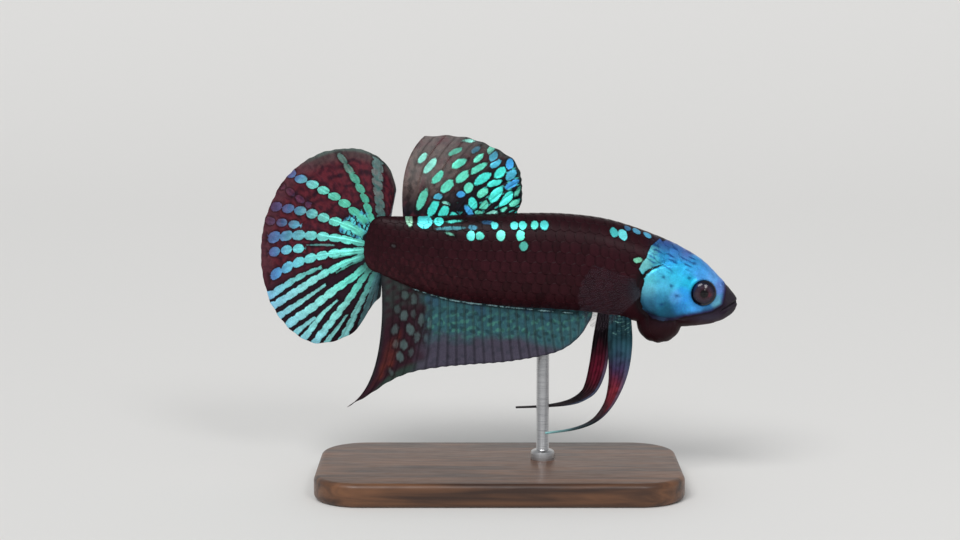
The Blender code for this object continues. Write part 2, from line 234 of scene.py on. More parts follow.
def line_distance(x, z, line):
    """Distance in the side view to an open line of points."""
    best = np.full(np.shape(x), 1e9)
    for (ax, az), (bx, bz) in zip(line, line[1:], strict=False):
        run, rise = bx - ax, bz - az
        t = np.clip(((x - ax) * run + (z - az) * rise) / (run**2 + rise**2), 0, 1)
        best = np.minimum(best, np.hypot(x - ax - t * run, z - az - t * rise))
    return best


def place(x, y, z):
    """World positions of places given in percent of the standard length."""
    bend = np.maximum(0, (SWAY_START - x) / (SWAY_START - SWAY_END))
    y = y + SWAY * bend**2
    return np.stack((TAIL_BASE + x * PERCENT, y * PERCENT, AXIS_HEIGHT + z * PERCENT), -1)


# ---------------------------------------------------------------- meshes
def mesh_object(name, points, faces, looks=None, uv=None):
    """A smooth object. Each of its looks has one number, or a tone of three, for each point."""
    points = np.reshape(points, (-1, 3))
    mesh = bpy.data.meshes.new(name)
    mesh.from_pydata(points.tolist(), [], [list(map(int, face)) for face in faces])
    for key, values in (looks or {}).items():
        values = np.reshape(values, (len(points), -1)).astype(np.float32)
        if values.shape[1] == 3:
            layer = mesh.attributes.new(key, "FLOAT_COLOR", "POINT")
            opaque = np.ones((len(points), 1), np.float32)
            layer.data.foreach_set("color", np.hstack((values, opaque)).ravel())
        else:
            layer = mesh.attributes.new(key, "FLOAT", "POINT")
            layer.data.foreach_set("value", values.ravel())
    if uv is not None:
        layer = mesh.uv_layers.new(name="OFBake")
        corners = np.empty(len(mesh.loops), np.int32)
        mesh.loops.foreach_get("vertex_index", corners)
        layer.data.foreach_set("uv", np.reshape(uv, (-1, 2)).astype(np.float32)[corners].ravel())
    mesh.update()
    mesh.validate()
    mesh.shade_smooth()
    made = bpy.data.objects.new(name, mesh)
    bpy.context.scene.collection.objects.link(made)
    return made


def grid_faces(rows, columns, wrap=False):
    """Quads over a grid of points numbered row by row; wrap joins the last column to the first."""
    i, j = grid(np.arange(rows - 1), np.arange(columns if wrap else columns - 1))
    k = (j + 1) % columns
    corners = (i * columns + j, i * columns + k, (i + 1) * columns + k, (i + 1) * columns + j)
    return np.stack(corners, -1).reshape(-1, 4)


def fan(ring, pole):
    """Triangles from a ring of points to a pole."""
    return np.stack((ring, np.roll(ring, -1), np.full(len(ring), pole)), -1)


def plate_faces(rows, columns):
    """Faces of a closed plate: a grid of upper points, then the same grid of lower points."""
    count = rows * columns
    index = np.arange(count).reshape(rows, columns)
    rim = np.concatenate((index[0, :-1], index[:-1, -1], index[-1, :0:-1], index[:0:-1, 0]))
    after = np.roll(rim, -1)
    upper = grid_faces(rows, columns)
    side = np.stack((rim, rim + count, after + count, after), -1)
    return np.concatenate((upper, upper[:, ::-1] + count, side))


def unit(vectors):
    return vectors / np.maximum(np.linalg.norm(vectors, axis=-1, keepdims=True), 1e-12)


def finish_piece(piece, material, slot, *nodes):
    piece.data.materials.append(material)
    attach(piece, "root")
    if nodes:
        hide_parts(*nodes)


# ---------------------------------------------------------------- materials
class Look:
    """A material. Its methods add shader nodes and give back the output to use."""

    def __init__(self, name, specular, coat, coat_roughness=0.15):
        self.material = bpy.data.materials.new(name)
        self.material.use_nodes = True
        self.tree = self.material.node_tree
        self.surface({
            "Specular IOR Level": specular,
            "Coat Weight": coat,
            "Coat Roughness": coat_roughness,
        })

    def feed(self, inputs, values):
        """Sets inputs, by a link where the value is a node's output."""
        for key, value in values.items():
            if isinstance(value, bpy.types.NodeSocket):
                self.tree.links.new(value, inputs[key])
            else:
                inputs[key].default_value = value

    def surface(self, values):
        self.feed(self.tree.nodes["Principled BSDF"].inputs, values)

    def add(self, kind, output, values=None, **settings):
        made = self.tree.nodes.new("ShaderNode" + kind)
        for key, value in settings.items():
            setattr(made, key, value)
        self.feed(made.inputs, values or {})
        return made.outputs[output]

    def own(self, name, output="Fac"):
        """A value, or with output "Color" a tone, that the mesh gives for each point."""
        return self.add("Attribute", output, attribute_name=name)

    def where(self, *stretch):
        """The place on the object, measured finer along an axis with a higher stretch."""
        where = self.add("TexCoord", "Object")
        if not stretch:
            return where
        return self.add("Mapping", "Vector", {"Vector": where, "Scale": stretch})

    def noise(self, where, scale, detail, distortion=0.0):
        values = {"Vector": where, "Scale": scale, "Detail": detail, "Distortion": distortion}
        return self.add("TexNoise", "Fac", values)

    def maths(self, operation, *values):
        return self.add("Math", 0, dict(enumerate(values)), operation=operation)

    def spread(self, value, low, high, span=(0.3, 0.7), kind="LINEAR"):
        """Maps a value's span to low..high."""
        values = {"Value": value, "From Min": span[0], "From Max": span[1]}
        values.update({"To Min": low, "To Max": high})
        return self.add("MapRange", "Result", values, interpolation_type=kind)

    def scaled(self, tone, factor):
        values = {"Vector": tone, "Scale": factor}
        return self.add("VectorMath", "Vector", values, operation="SCALE")

    def tones(self, value, *stops):
        """The tone along a value from two (place, linear tone) stops."""
        made = self.add("ValToRGB", "Color", {"Fac": value})
        for element, (at, tone) in zip(made.node.color_ramp.elements, stops, strict=True):
            element.position = at
            element.color = (*tone, 1)
        return made

    def bump(self, height, strength, distance):
        values = {"Height": height, "Strength": strength, "Distance": distance}
        return self.add("Bump", "Normal", values)


# How many clouds, cells and grains of the living tissue there are in a metre.
CLOUDS, CELLS, GRAINS = 1100.0, 6500.0, 9000.0
CELL_SPAN = (0.1, 0.8)  # the distances from a cell's middle that its shading runs between


def tissue(name, roughness, mottle=0.12, clear=False, rays=False):
    """Living tissue. The mesh gives its own tint, and glow where the value mark is above 0."""
    look = Look(name, specular=0.09, coat=0.01)
    where = look.where()
    cloud, fine = look.noise(where, CLOUDS, 4.0), look.noise(where, GRAINS, 3.0)
    cells = look.add("TexVoronoi", "Distance", {"Vector": where, "Scale": CELLS})
    # The marking's edge wavers a little, and a dark line runs round it.
    ragged = look.maths("ADD", look.own("mark"), look.spread(cloud, -0.12, 0.12))
    ragged = look.maths("ADD", ragged, look.spread(cells, 0.06, -0.06, CELL_SPAN))
    inside = look.spread(ragged, 0.0, 1.0, (-0.10, 0.16), "SMOOTHSTEP")
    beside = look.spread(ragged, 1.0, 0.45, (-0.75, -0.10), "SMOOTHSTEP")
    cell_factor = look.spread(cells, 1 + mottle, 1 - mottle, CELL_SPAN)
    base_factor = look.maths("MULTIPLY", look.spread(cloud, 1 - mottle, 1 + mottle), beside)
    base_factor = look.maths("MULTIPLY", base_factor, cell_factor)
    glow_factor = look.maths("MULTIPLY", cell_factor, look.spread(cloud, 0.82, 1.16))
    base = look.scaled(look.own("tint", "Color"), base_factor)
    glow = look.scaled(look.own("glow", "Color"), glow_factor)
    hue = {"Color": glow, "Hue": look.spread(fine, 0.485, 0.515)}
    turned = look.add("HueSaturation", "Color", hue)
    rough = look.spread(fine, roughness - 0.06, roughness + 0.08)
    height = look.maths("ADD", fine, cells)
    if rays:
        # Fin rays are jointed: fine steps cross each raised ray.
        steps = look.maths("SINE", look.maths("MULTIPLY", look.own("run"), 14.0))
        joints = look.maths("MULTIPLY", steps, look.own("ridge"))
        height = look.maths("ADD", height, look.maths("MULTIPLY", joints, 0.8))
    look.surface({
        "Base Color": look.add("Mix", 2, {"Factor": inside, 6: base, 7: turned}, data_type="RGBA"),
        "Metallic": look.maths("MULTIPLY", inside, 0.3),
        "Roughness": look.maths("SUBTRACT", rough, look.maths("MULTIPLY", inside, 0.06)),
        "Normal": look.bump(height, 0.5, 0.000012),
    })
    if clear:
        look.surface({"Alpha": look.maths("MAXIMUM", look.own("cover"), inside)})
    return look.material


# ---------------------------------------------------------------- the body's surface
def body_surface(along, around, grow):
    """Percent coordinates of the body, made larger by grow; around is 90 degrees on the back."""
    x, top, bottom, half = np.moveaxis(spline(BODY, along), -1, 0)
    middle = bottom + WIDEST_AT * (top - bottom)
    across, up = np.cos(around), np.sin(around)
    squareness = np.where(up > 0, BACK_SQUARENESS, BELLY_SQUARENESS)
    height = np.where(up > 0, top - middle, middle - bottom) + grow
    return np.stack(
        (
            x - grow * np.cos(math.pi * along),
            np.maximum(half + grow, 0.02) * power(across, 2 / squareness),
            middle + np.maximum(height, 0.02) * power(up, 2 / squareness),
        ),
        -1,
    )


def body_normals(along, around, grow):
    step = 1e-3
    forward = body_surface(np.minimum(along + step, 1), around, grow) - body_surface(
        np.maximum(along - step, 0), around, grow
    )
    turn = body_surface(along, around + step, grow) - body_surface(along, around - step, grow)
    return unit(np.cross(turn, forward))


def skin_level(x):
    """The skin's height over the plain body: below 0, to leave room for scales, less on the head."""
    return -SKIN_DEPTH * (1 - 0.6 * smooth(70, 84, x))


def gill_cover_edge(x, z):
    """0 on the gill cover's free edge, below 0 on the cover, in shares of its size."""
    across = np.abs((x - GILL_COVER_CENTRE[0]) / GILL_COVER_RADII[0])
    up = np.abs((z - GILL_COVER_CENTRE[1]) / GILL_COVER_RADII[1])
    return (across**2.5 + up**2.5) ** 0.4 - 1


def skin_relief(x, y, z):
    """How far the skin stands out from the plain body, in percent."""
    eye = np.hypot(x - EYE[0], z - EYE[1])
    side = smooth(1.0, 3.0, np.abs(y))
    relief = -1.9 * smooth(EYE_RIM, 2.6, eye) * side
    relief += 0.26 * bell(eye - 3.7, 0.40) * side - 0.12 * bell(eye - 4.7, 0.5) * side
    edge = gill_cover_edge(x, z)
    hind = smooth(88.0, 82.0, x - 0.25 * (z + 14))
    relief += 0.34 * smooth(0.0, -0.10, edge) * smooth(-0.75, -0.1, edge) * hind * side
    relief -= 0.62 * bell(edge - 0.05, 0.04) * hind * side
    cheek = np.hypot((x - 90.2) / 1.0, (z + 7.2) / 1.15)
    relief -= 0.14 * bell(cheek - 6.3, 0.3) * smooth(88.5, 86.5, x) * side
    relief -= 0.09 * bell(cheek - 7.6, 0.25) * smooth(87.5, 85.5, x) * side
    mouth = line_distance(x, z, MOUTH)
    relief -= 0.6 * bell(mouth, 0.24) * smooth(94.8, 96.0, x)
    relief += 0.15 * bell(mouth - 0.8, 0.45) * smooth(95.0, 97.0, x)
    nostril = np.hypot(x - NOSTRIL[0], z - NOSTRIL[1])
    snout_side = smooth(0.6, 1.4, np.abs(y))
    relief += (0.22 * bell(nostril - 0.5, 0.2) - 0.42 * bell(nostril, 0.3)) * snout_side
    for px, pz in PORES:
        relief -= 0.12 * bell(np.hypot(x - px, z - pz), 0.25) * side
    return relief + 0.04 * wander(x, z, 3.0, 5) * smooth(74, 80, x)


def gill_membrane(x, y, z, up):
    """Lowers the throat's skin over the dark membrane that hangs below the gill cover."""
    fold = 0.10 * np.sin(2.2 * (x - 70) + 0.9 * np.abs(y)) * smooth(73, 76, x)
    shape = 1 - ((x - MEMBRANE_CENTRE[0]) / MEMBRANE_RADII[0]) ** 2 - (y / MEMBRANE_RADII[1]) ** 2
    hanging = MEMBRANE_CENTRE[1] - (MEMBRANE_RADII[2] + fold) * np.sqrt(np.maximum(shape, 0))
    hanging = np.where((shape > 0) & (up < 0), hanging, 99.0)
    reach = np.clip(0.5 + 0.5 * (z - hanging) / 0.8, 0, 1)
    lowered = z * (1 - reach) + hanging * reach - 0.8 * reach * (1 - reach)
    return np.where(hanging < 50, lowered, z)


# ---------------------------------------------------------------- markings of skin and coat
BACK_TONE, FLANK_TONE, BELLY_TONE = (35, 8, 15), (43, 12, 20), (48, 16, 23)
# The rear edge of the blue face mask as x at height z, and its lower edge as z at x.
MASK_REAR = np.array((
    (-15, 81.0), (-14, 77.0), (-12, 74.6), (-9.3, 73.8), (-6.6, 74.0), (-4, 74.8), (-2.3, 74.2),
    (-0.8, 73.2), (0.8, 74.2), (2, 75.2), (3.5, 75.8), (5, 76.5), (6.4, 78.6), (8, 82.0),
))
MASK_LOW = np.array((
    (74, -12.6), (77, -14.2), (80, -15.0), (83, -15.0), (86, -13.9), (90, -13.3), (93, -12.7),
    (95.8, -10.9), (96.4, -8.6), (96.9, -6.0), (98, -3.0),
))
# Tones of the mask: x, z, spread, tone.
MASK_TONES = (
    (76.3, -3.4, 1.7, (90, 198, 216)), (78.6, -2.2, 1.8, (72, 194, 232)),
    (76.0, -6.2, 1.7, (100, 184, 208)), (76.4, -8.4, 1.6, (54, 116, 148)),
    (79.6, -5.0, 2.0, (84, 195, 236)), (79.2, -8.6, 1.7, (52, 134, 174)),
    (76.0, -11.2, 1.6, (44, 98, 130)), (80.4, -12.0, 2.2, (30, 96, 124)),
    (76.6, -13.6, 1.3, (26, 52, 66)), (82.0, -14.0, 1.8, (30, 66, 92)),
    (82.4, -2.8, 2.0, (58, 196, 236)), (84.4, -0.8, 1.8, (52, 184, 240)),
    (81.4, 0.2, 1.0, (60, 180, 242)), (86.4, -4.6, 1.4, (44, 196, 240)),
    (83.2, -8.6, 1.3, (90, 174, 240)), (85.2, -6.9, 1.0, (46, 160, 232)),
    (86.0, -9.2, 1.6, (52, 154, 232)), (84.0, -11.4, 1.5, (48, 132, 196)),
    (88.6, -11.6, 1.5, (76, 170, 250)), (86.8, -11.0, 1.2, (64, 172, 248)),
    (91.2, -12.4, 1.1, (54, 124, 180)), (88.0, 0.0, 2.0, (68, 178, 246)),
    (86.2, 2.4, 1.4, (94, 130, 200)), (83.0, 3.0, 1.6, (68, 144, 214)),
    (80.0, 5.0, 1.4, (62, 110, 166)), (78.0, 5.4, 1.2, (50, 108, 156)),
    (90.4, -1.8, 1.8, (78, 166, 240)), (93.2, -3.6, 1.4, (106, 180, 250)),
    (95.2, -6.0, 1.2, (108, 152, 226)), (94.4, -9.9, 1.0, (100, 170, 206)),
    (96.0, -8.8, 0.7, (84, 150, 210)), (77.4, 1.6, 1.2, (70, 160, 176)),
    (75.2, 0.2, 1.2, (110, 190, 194)), (77.2, 4.0, 1.2, (88, 172, 186)),
    (79.6, 2.4, 1.4, (40, 138, 190)), (94.7, -10.6, 0.7, (112, 204, 224)),
)
# Bright patches of skin: x, z, half length, half height, slant, tone.
PATCHES = (
    (16.9, 10.8, 2.0, 1.8, 0, (88, 222, 226)), (20.7, 10.9, 1.3, 1.1, 0, (84, 230, 222)),
    (12.7, 11.3, 1.0, 1.9, 12, (128, 180, 155)), (24.4, 11.0, 2.5, 0.35, 5, (80, 206, 190)),
    (24.0, 9.3, 4.2, 0.55, 2, (52, 108, 118)), (23.7, 7.9, 1.5, 0.40, -16, (95, 160, 140)),
    (29.6, 9.6, 1.4, 0.7, 0, (52, 110, 132)), (33.6, 10.9, 2.0, 0.5, -5, (38, 76, 108)),
    (73.0, 1.5, 1.2, 0.75, 0, (118, 196, 164)),
)
# Single bright scales: x, z, size, tone.
BRIGHT_SCALES = (
    (36.0, 10.5, 0.70, (76, 186, 186)), (40.9, 10.8, 0.84, (90, 220, 210)),
    (43.0, 10.3, 0.86, (90, 225, 215)), (45.7, 10.4, 0.88, (96, 226, 210)),
    (48.5, 10.0, 0.96, (86, 216, 214)), (37.5, 7.6, 1.0, (115, 230, 210)),
    (42.6, 7.6, 1.0, (108, 242, 218)), (44.5, 5.0, 0.9, (88, 186, 172)),
    (29.1, 7.3, 1.0, (110, 234, 224)), (31.7, 7.8, 0.85, (94, 214, 196)),
    (66.0, 7.9, 0.95, (76, 190, 190)), (68.9, 7.3, 1.1, (112, 226, 230)),
    (70.0, 9.2, 0.75, (58, 112, 152)), (73.0, 8.4, 0.90, (84, 160, 195)),
    (75.7, 6.8, 0.90, (88, 174, 212)), (9.2, 3.7, 0.55, (58, 54, 56)),
)


def mask_inside(x, z, crest, eye):
    """How far a place is inside the blue mask, crest below the back and eye from the eye."""
    reach = 0.9 * smooth(78, 83, x) + 0.5 * smooth(84, 88, x) - 0.9
    return least(
        x - np.interp(z, *MASK_REAR.T),
        z - np.interp(x, *MASK_LOW.T),
        crest + reach + 0.25 * wander(x, z, 2.0, 8),
        eye - EYE_RIM,
        line_distance(x, z, GILL_SLIT) - 0.42 * smooth(80.6, 75.0, x),
    )


def mask_tone(x, z, crest, eye, tint):
    """The mask's tone, which is near to the skin's tint along the lower edge."""
    weights, total = 0, 0
    for tx, tz, size, tone in MASK_TONES:
        weight = bell(np.hypot(x - tx, z - tz), size)[..., None] + 1e-9
        weights, total = weights + weight, total + weight * light(tone)
    dim = smooth(3.0, 0.2, crest) * (1 - 0.6 * smooth(80, 88, x))
    # Short dark strokes lie along the upper part.
    strokes = smooth(0.35, 0.8, wander(0.45 * (x + 0.5 * z), 1.4 * (z + 0.5 * x), 1.7, 14))
    strokes = strokes * smooth(-3.5, 0.5, z) * smooth(92, 88, x)
    blue = painted(total / weights, ((44, 74, 146), 0.8 * dim), ((20, 62, 130), 0.75 * strokes))
    rim = smooth(0.05, 1.5, line_distance(x, z, MASK_LOW))
    blue = mix(mix(tint, (46, 40, 84), 0.6), blue, rim)
    # The mask darkens towards the eye, more behind it: partly the eye ring's own dark colour, partly
    # painted shade in the sunken eye socket.
    blue = blue * (0.45 + 0.55 * smooth(3.3, 4.3, eye + 0.3 * (x > EYE[0])))[..., None]
    for px, pz in PORES:
        spot = bell(np.hypot((x - px) / 1.5, z - pz), 0.42 + 0.1 * wander(x, z, 1.0, 15))
        blue = mix(blue, (14, 52, 104), 0.85 * spot)
    return blue


def bare_face(x, z, eye, tint):
    """Tints cheek, lips, jaw, eye socket and gill membrane, and paints shadow in the gill opening
    under the gill cover's edge.
    """
    # Painted shadow: a dark band just behind the gill cover's free edge, in the gill opening that it
    # overhangs.
    gill_cover_shadow = smooth(84.0, 80.0, x) * (z > -16.5) * smooth(70, 73, x)
    beard = smooth(-14.6, -16.0, z) * smooth(72, 74, x) * smooth(90, 86, x)
    return painted(
        tint,
        ((34, 30, 46), 0.75 * smooth(74, 80, x) * smooth(-17.5, -12, z)),
        ((46, 40, 48), smooth(96.0, 97.4, x + 0.2 * (z + 10))),
        ((60, 56, 74), 0.7 * bell(np.hypot((x - 92.5) / 4.0, (z + 14.4) / 1.2), 1)),
        (NAVY, 0.9 * smooth(4.3, 3.6, eye)),
        # painted shadow under the gill cover's edge
        ((15, 11, 15), 0.85 * bell(gill_cover_edge(x, z) - 0.10, 0.12) * gill_cover_shadow),
        ((35, 13, 18), 0.85 * beard),
    )


def paint_body(x, z, top):
    """Tint, glow and mark of the body at these places; top is the back's height there."""
    tint = ramp(
        ((-14, BELLY_TONE), (-6, light(BELLY_TONE) * 0.9), (1, FLANK_TONE), (11, BACK_TONE)),
        z + 0.4 * wander(x, z, 9.0, 2),
    )
    # A faint red net shows low on the tail stalk and the hind flank.
    net = smooth(0.1, 0.8, wander(x, z, 2.2, 3)) * smooth(42, 20, x) * smooth(4, -2, z)
    tint = mix(tint, (66, 26, 32), 0.5 * net)
    glow, mark = tint, np.full(np.shape(x), UNMARKED)
    for px, pz, length, height, slant, tone in PATCHES:
        glow, mark = put(glow, mark, blob(x, z, (px, pz), length, height, slant), tone)
    crest, eye = top - z, np.hypot(x - EYE[0], z - EYE[1])
    blue = mask_tone(x, z, crest, eye, tint)
    glow, mark = put(glow, mark, mask_inside(x, z, crest, eye), blue)
    return bare_face(x, z, eye, tint), glow, mark


def build_skin(material):
    rings, sides = 320, 220
    along, around = grid(np.linspace(0.004, 0.9985, rings), circle(sides))
    x, top = np.moveaxis(spline(BODY, along)[..., :2], -1, 0)
    base = body_surface(along, around, skin_level(x))
    ends = np.minimum(1, np.minimum(along, 1 - along) / 0.012)
    relief = skin_relief(*np.moveaxis(base, -1, 0)) * ends
    skin = base + body_normals(along, around, skin_level(x)) * relief[..., None]
    x, y, z = np.moveaxis(skin, -1, 0)
    z = gill_membrane(x, y, z, np.sin(around))
    tint, glow, mark = paint_body(x, z, top)
    points = place(x, y, z).reshape(-1, 3)
    points = np.concatenate((points, [points[:sides].mean(0), points[-sides:].mean(0)]))
    count = rings * sides
    faces = [
        *grid_faces(rings, sides, wrap=True),
        *fan(np.arange(sides)[::-1], count),
        *fan(np.arange(count - sides, count), count + 1),
    ]
    looks = {}
    for key, tones in (("tint", tint), ("glow", glow)):
        looks[key] = np.concatenate((tones.reshape(-1, 3), tones[0, :1], tones[-1, :1]))
    looks["mark"] = np.append(mark, (UNMARKED, UNMARKED))
    finish_piece(
        mesh_object("skin", points, faces, looks), material, "body", "head", "trunk", "tail_stalk",
        "lower_jaw", "gill_cover_right", "gill_cover_left", "gill_membrane",
    )


# ---------------------------------------------------------------- the coat of scales
class Wrap:
    """The skin's unwrap: x forward and the share of the way round, from the back over the right."""

    def __init__(self):
        self.along = np.linspace(0, 1, 500)
        self.rows = spline(BODY, self.along)
        self.x = self.rows[:, 0]
        self.shares = np.linspace(0, 1, 97)
        around = np.linspace(0.5 * math.pi, 2.5 * math.pi, 721)
        table = []
        for value in self.along[::5]:
            ring = body_surface(np.full(around.shape, value), around, -SKIN_DEPTH)
            length = np.append(0, np.cumsum(np.linalg.norm(np.diff(ring, axis=0), axis=1)))
            table.append(np.interp(self.shares, length / length[-1], around))
        self.table = np.array(table)

    def base(self, x, share):
        """Places and normals of the skin, and how far along the body they are."""
        along = np.interp(x, self.x, self.along)
        row = np.clip(along / self.along[5], 0, len(self.table) - 1.001)
        column = (share % 1.0) * (len(self.shares) - 1)
        i, j = row.astype(int), np.minimum(column.astype(int), len(self.shares) - 2)
        p, q, t = row - i, column - j, self.table
        around = between((t[i, j], t[i + 1, j]), p) * (1 - q)
        around += between((t[i, j + 1], t[i + 1, j + 1]), p) * q
        places = body_surface(along, around, skin_level(x))
        normals = body_normals(along, around, skin_level(x))
        relief = skin_relief(*np.moveaxis(places, -1, 0)) * smooth(72, 75, x)
        return places + normals * relief[..., None], normals, along

    def top(self, x):
        return np.interp(x, self.x, self.rows[:, 1])


SCALE_ROWS, SCALE_PITCH, SCALE_LENGTH = 22, 2.6, 4.2
SCALE_HALF_WIDTH = 0.66  # as a share of the distance between two rows
SCALE_EXPOSED = 0.70  # the middle of a scale's bare part, as a share of its length
SCALE_ROUND = 0.45  # from here on, as a share of its length, a scale's outline is round
SCALE_THICKNESS = 0.05
SCALE_PARTS = (("rear", 0, 30), ("middle", 30, 55), ("front", 55, 100))


def scale_roots():
    """Where each scale is rooted: x and the share of the way round."""
    roots = []
    for row in range(SCALE_ROWS):
        share = row / SCALE_ROWS
        high = abs((share + 0.5) % 1.0 - 0.5)
        # The scales end at the gill opening on the flank and run on over the nape above it.
        front = 88.0 if high < 0.10 else 84.0 if high < 0.15 else 77.5 if high < 0.18 else 75.6
        if high > 0.3:
            front = 73.0
        x = 4.6 + SCALE_PITCH / 2 * (row % 2)
        while x < front:
            roots.append((x, share))
            x += SCALE_PITCH
    return np.array(roots)


def bright_scales(centres):
    """The size and tone of the bright scales, by their number, on both sides of the body."""
    chosen = {}
    for side, _ in SIDES:
        for x, z, size, tone in BRIGHT_SCALES:
            gap = np.hypot(centres[:, 0] - x, centres[:, 2] - z) + 50 * (centres[:, 1] * side < 0)
            gap[list(chosen)] = 99
            chosen[int(np.argmin(gap))] = (size, tone)
    return chosen


def paint_scales(upper, tops, centres, jitter, a, b, width):
    """Tint, glow and mark of the scales' upper points; tops is the back's height there.

    a runs from 0 at a scale's root to 1 at its free edge, b from -1 to 1 across it.
    """
    tint, glow, mark = paint_body(upper[..., 0], upper[..., 2], tops)
    tint = tint * (1 + 0.10 * jitter[0])[..., None]
    glow = glow * (1 + 0.05 * jitter[1])[..., None]
    spot = np.hypot((a - SCALE_EXPOSED) / 0.30, b * width / 0.80)
    for number, (size, tone) in bright_scales(centres).items():
        glow[number] = np.where((spot < 1.3)[..., None], light(tone), glow[number])
        mark[number] = np.maximum(mark[number], 1.1 * (size - spot))
    # A darker rim, and a faint red painted highlight near the free edge.
    rim = smooth(0.82, 1.0, a) + smooth(0.78, 1.0, np.abs(b)) * smooth(0.35, 0.6, a)
    rim = np.clip(rim, 0, 1)
    red_highlight = 0.10 * bell(a - 0.78, 0.08) * (1 - 0.6 * np.abs(b))
    tint = painted(tint, (tint * 0.6, rim), ((74, 36, 40), red_highlight))
    return tint, mix(glow, glow * 0.55, rim), mark


def build_scales(material):
    """All scales at once: each value has an axis for the scales, then those of a scale's grid."""
    wrap = Wrap()
    # a and b are the places along and across a scale, as in paint_scales.
    rows, columns = 13, 12
    a, b = grid(np.linspace(0, 1, rows), np.linspace(-1, 1, columns))
    rounded = 1 - (np.maximum(a - SCALE_ROUND, 0) / (1 - SCALE_ROUND)) ** 2.3
    width = np.where(a < SCALE_ROUND, 0.84 + 0.355 * a, np.sqrt(np.maximum(rounded, 0.003)))
    roots = scale_roots()
    jitter = np.random.default_rng(11).normal(0, 1, (len(roots), 4)).T[..., None, None]
    x0, share0 = roots.T[..., None, None]
    length = SCALE_LENGTH * (0.70 + 0.30 * smooth(2, 16, x0))
    centres = wrap.base(x0 - SCALE_EXPOSED * length, share0)[0].reshape(-1, 3)
    x = np.maximum(x0 - length * (1 + 0.025 * jitter[0]) * a + 0.10 * jitter[2], 0.5)
    share = share0 + SCALE_HALF_WIDTH / SCALE_ROWS * (1 + 0.025 * jitter[1]) * b * width
    lift = -0.06 + 0.15 * a**1.4 + 0.03 * (1 - b**2) * (1 - a) + 0.006 * jitter[3] * a
    lift = (lift - 0.03 * smooth(0.85, 1.0, a)) * (1 - 0.45 * smooth(72, 80, x0))
    skin, normals, along = wrap.base(x, share)
    upper = skin + normals * lift[..., None]
    lower = skin + normals * (lift - SCALE_THICKNESS)[..., None]
    tops = wrap.top(upper[..., 0])
    tint, glow, mark = paint_scales(upper, tops, centres, jitter, a, b, width)
    middle = 0.04 + 0.92 * along[:, :1, :1]
    uv = np.stack((middle + 0.003 * (a - 0.5), 0.01 + 0.98 * share0 + 0.0015 * b), -1)
    points = place(*np.moveaxis(np.stack((upper, lower), 1), -1, 0))
    faces_one = plate_faces(rows, columns)
    for part, start, end in SCALE_PARTS:
        some = (roots[:, 0] > start) & (roots[:, 0] <= end)
        faces = [faces_one + 2 * rows * columns * number for number in range(some.sum())]
        looks = {"tint": tint[some], "glow": glow[some], "mark": mark[some]}
        looks = {key: np.stack((values, values), 1) for key, values in looks.items()}
        coat_uv = np.stack((uv[some], uv[some]), 1)
        coat = mesh_object(f"scales_{part}", points[some], np.concatenate(faces), looks, coat_uv)
        finish_piece(coat, material, "body")


# ---------------------------------------------------------------- fins
# Tones of the iridescence, from green near the fin's root to violet at its margin.
IRIDESCENCE = (
    (0.0, (82, 190, 160)), (0.30, (98, 212, 184)), (0.5, (120, 240, 222)),
    (0.65, (126, 234, 230)), (0.80, (116, 208, 232)), (0.92, (92, 160, 218)),
    (1.05, (98, 122, 184)), (1.25, (92, 82, 132)),
)


class Blend:
    """A blend of markings, each weighed by how far inside it a place is, with their joint mark."""

    def __init__(self):
        self.weights, self.total, self.mark = 1e-9, 0, UNMARKED

    def add(self, inside, tone):
        weight = np.exp(np.clip(6 * inside, -40, 12))[..., None]
        self.weights = self.weights + weight
        self.total = self.total + weight * tone
        self.mark = np.maximum(self.mark, inside)

    def tone(self):
        return self.total / self.weights


def fin_thickness(root, fall, raised, out, ridge, edge):
    """Half a fin's thickness in percent: it falls outwards, rises on a ray, halves at the edge."""
    return (root - fall * out + raised * ridge * (1.05 - 0.6 * out)) * (1 - 0.5 * edge)


def fin_plate(name, replaced, slot, material, sheet, thickness, **looks):
    """A closed fin round a middle surface in percent coordinates, half the thickness each way."""
    shape = sheet[0].shape
    middle = place(*sheet)
    normals = unit(np.cross(np.gradient(middle, axis=0), np.gradient(middle, axis=1)))
    lift = normals * (thickness * PERCENT)[..., None]
    both = {}
    for key, values in looks.items():
        full = (2, *shape, 3) if key in ("tint", "glow") else (2, *shape)
        both[key] = np.broadcast_to(light(values), full)
    fin = mesh_object(name, (middle + lift, middle - lift), plate_faces(*shape), both)
    finish_piece(fin, material, slot, replaced)


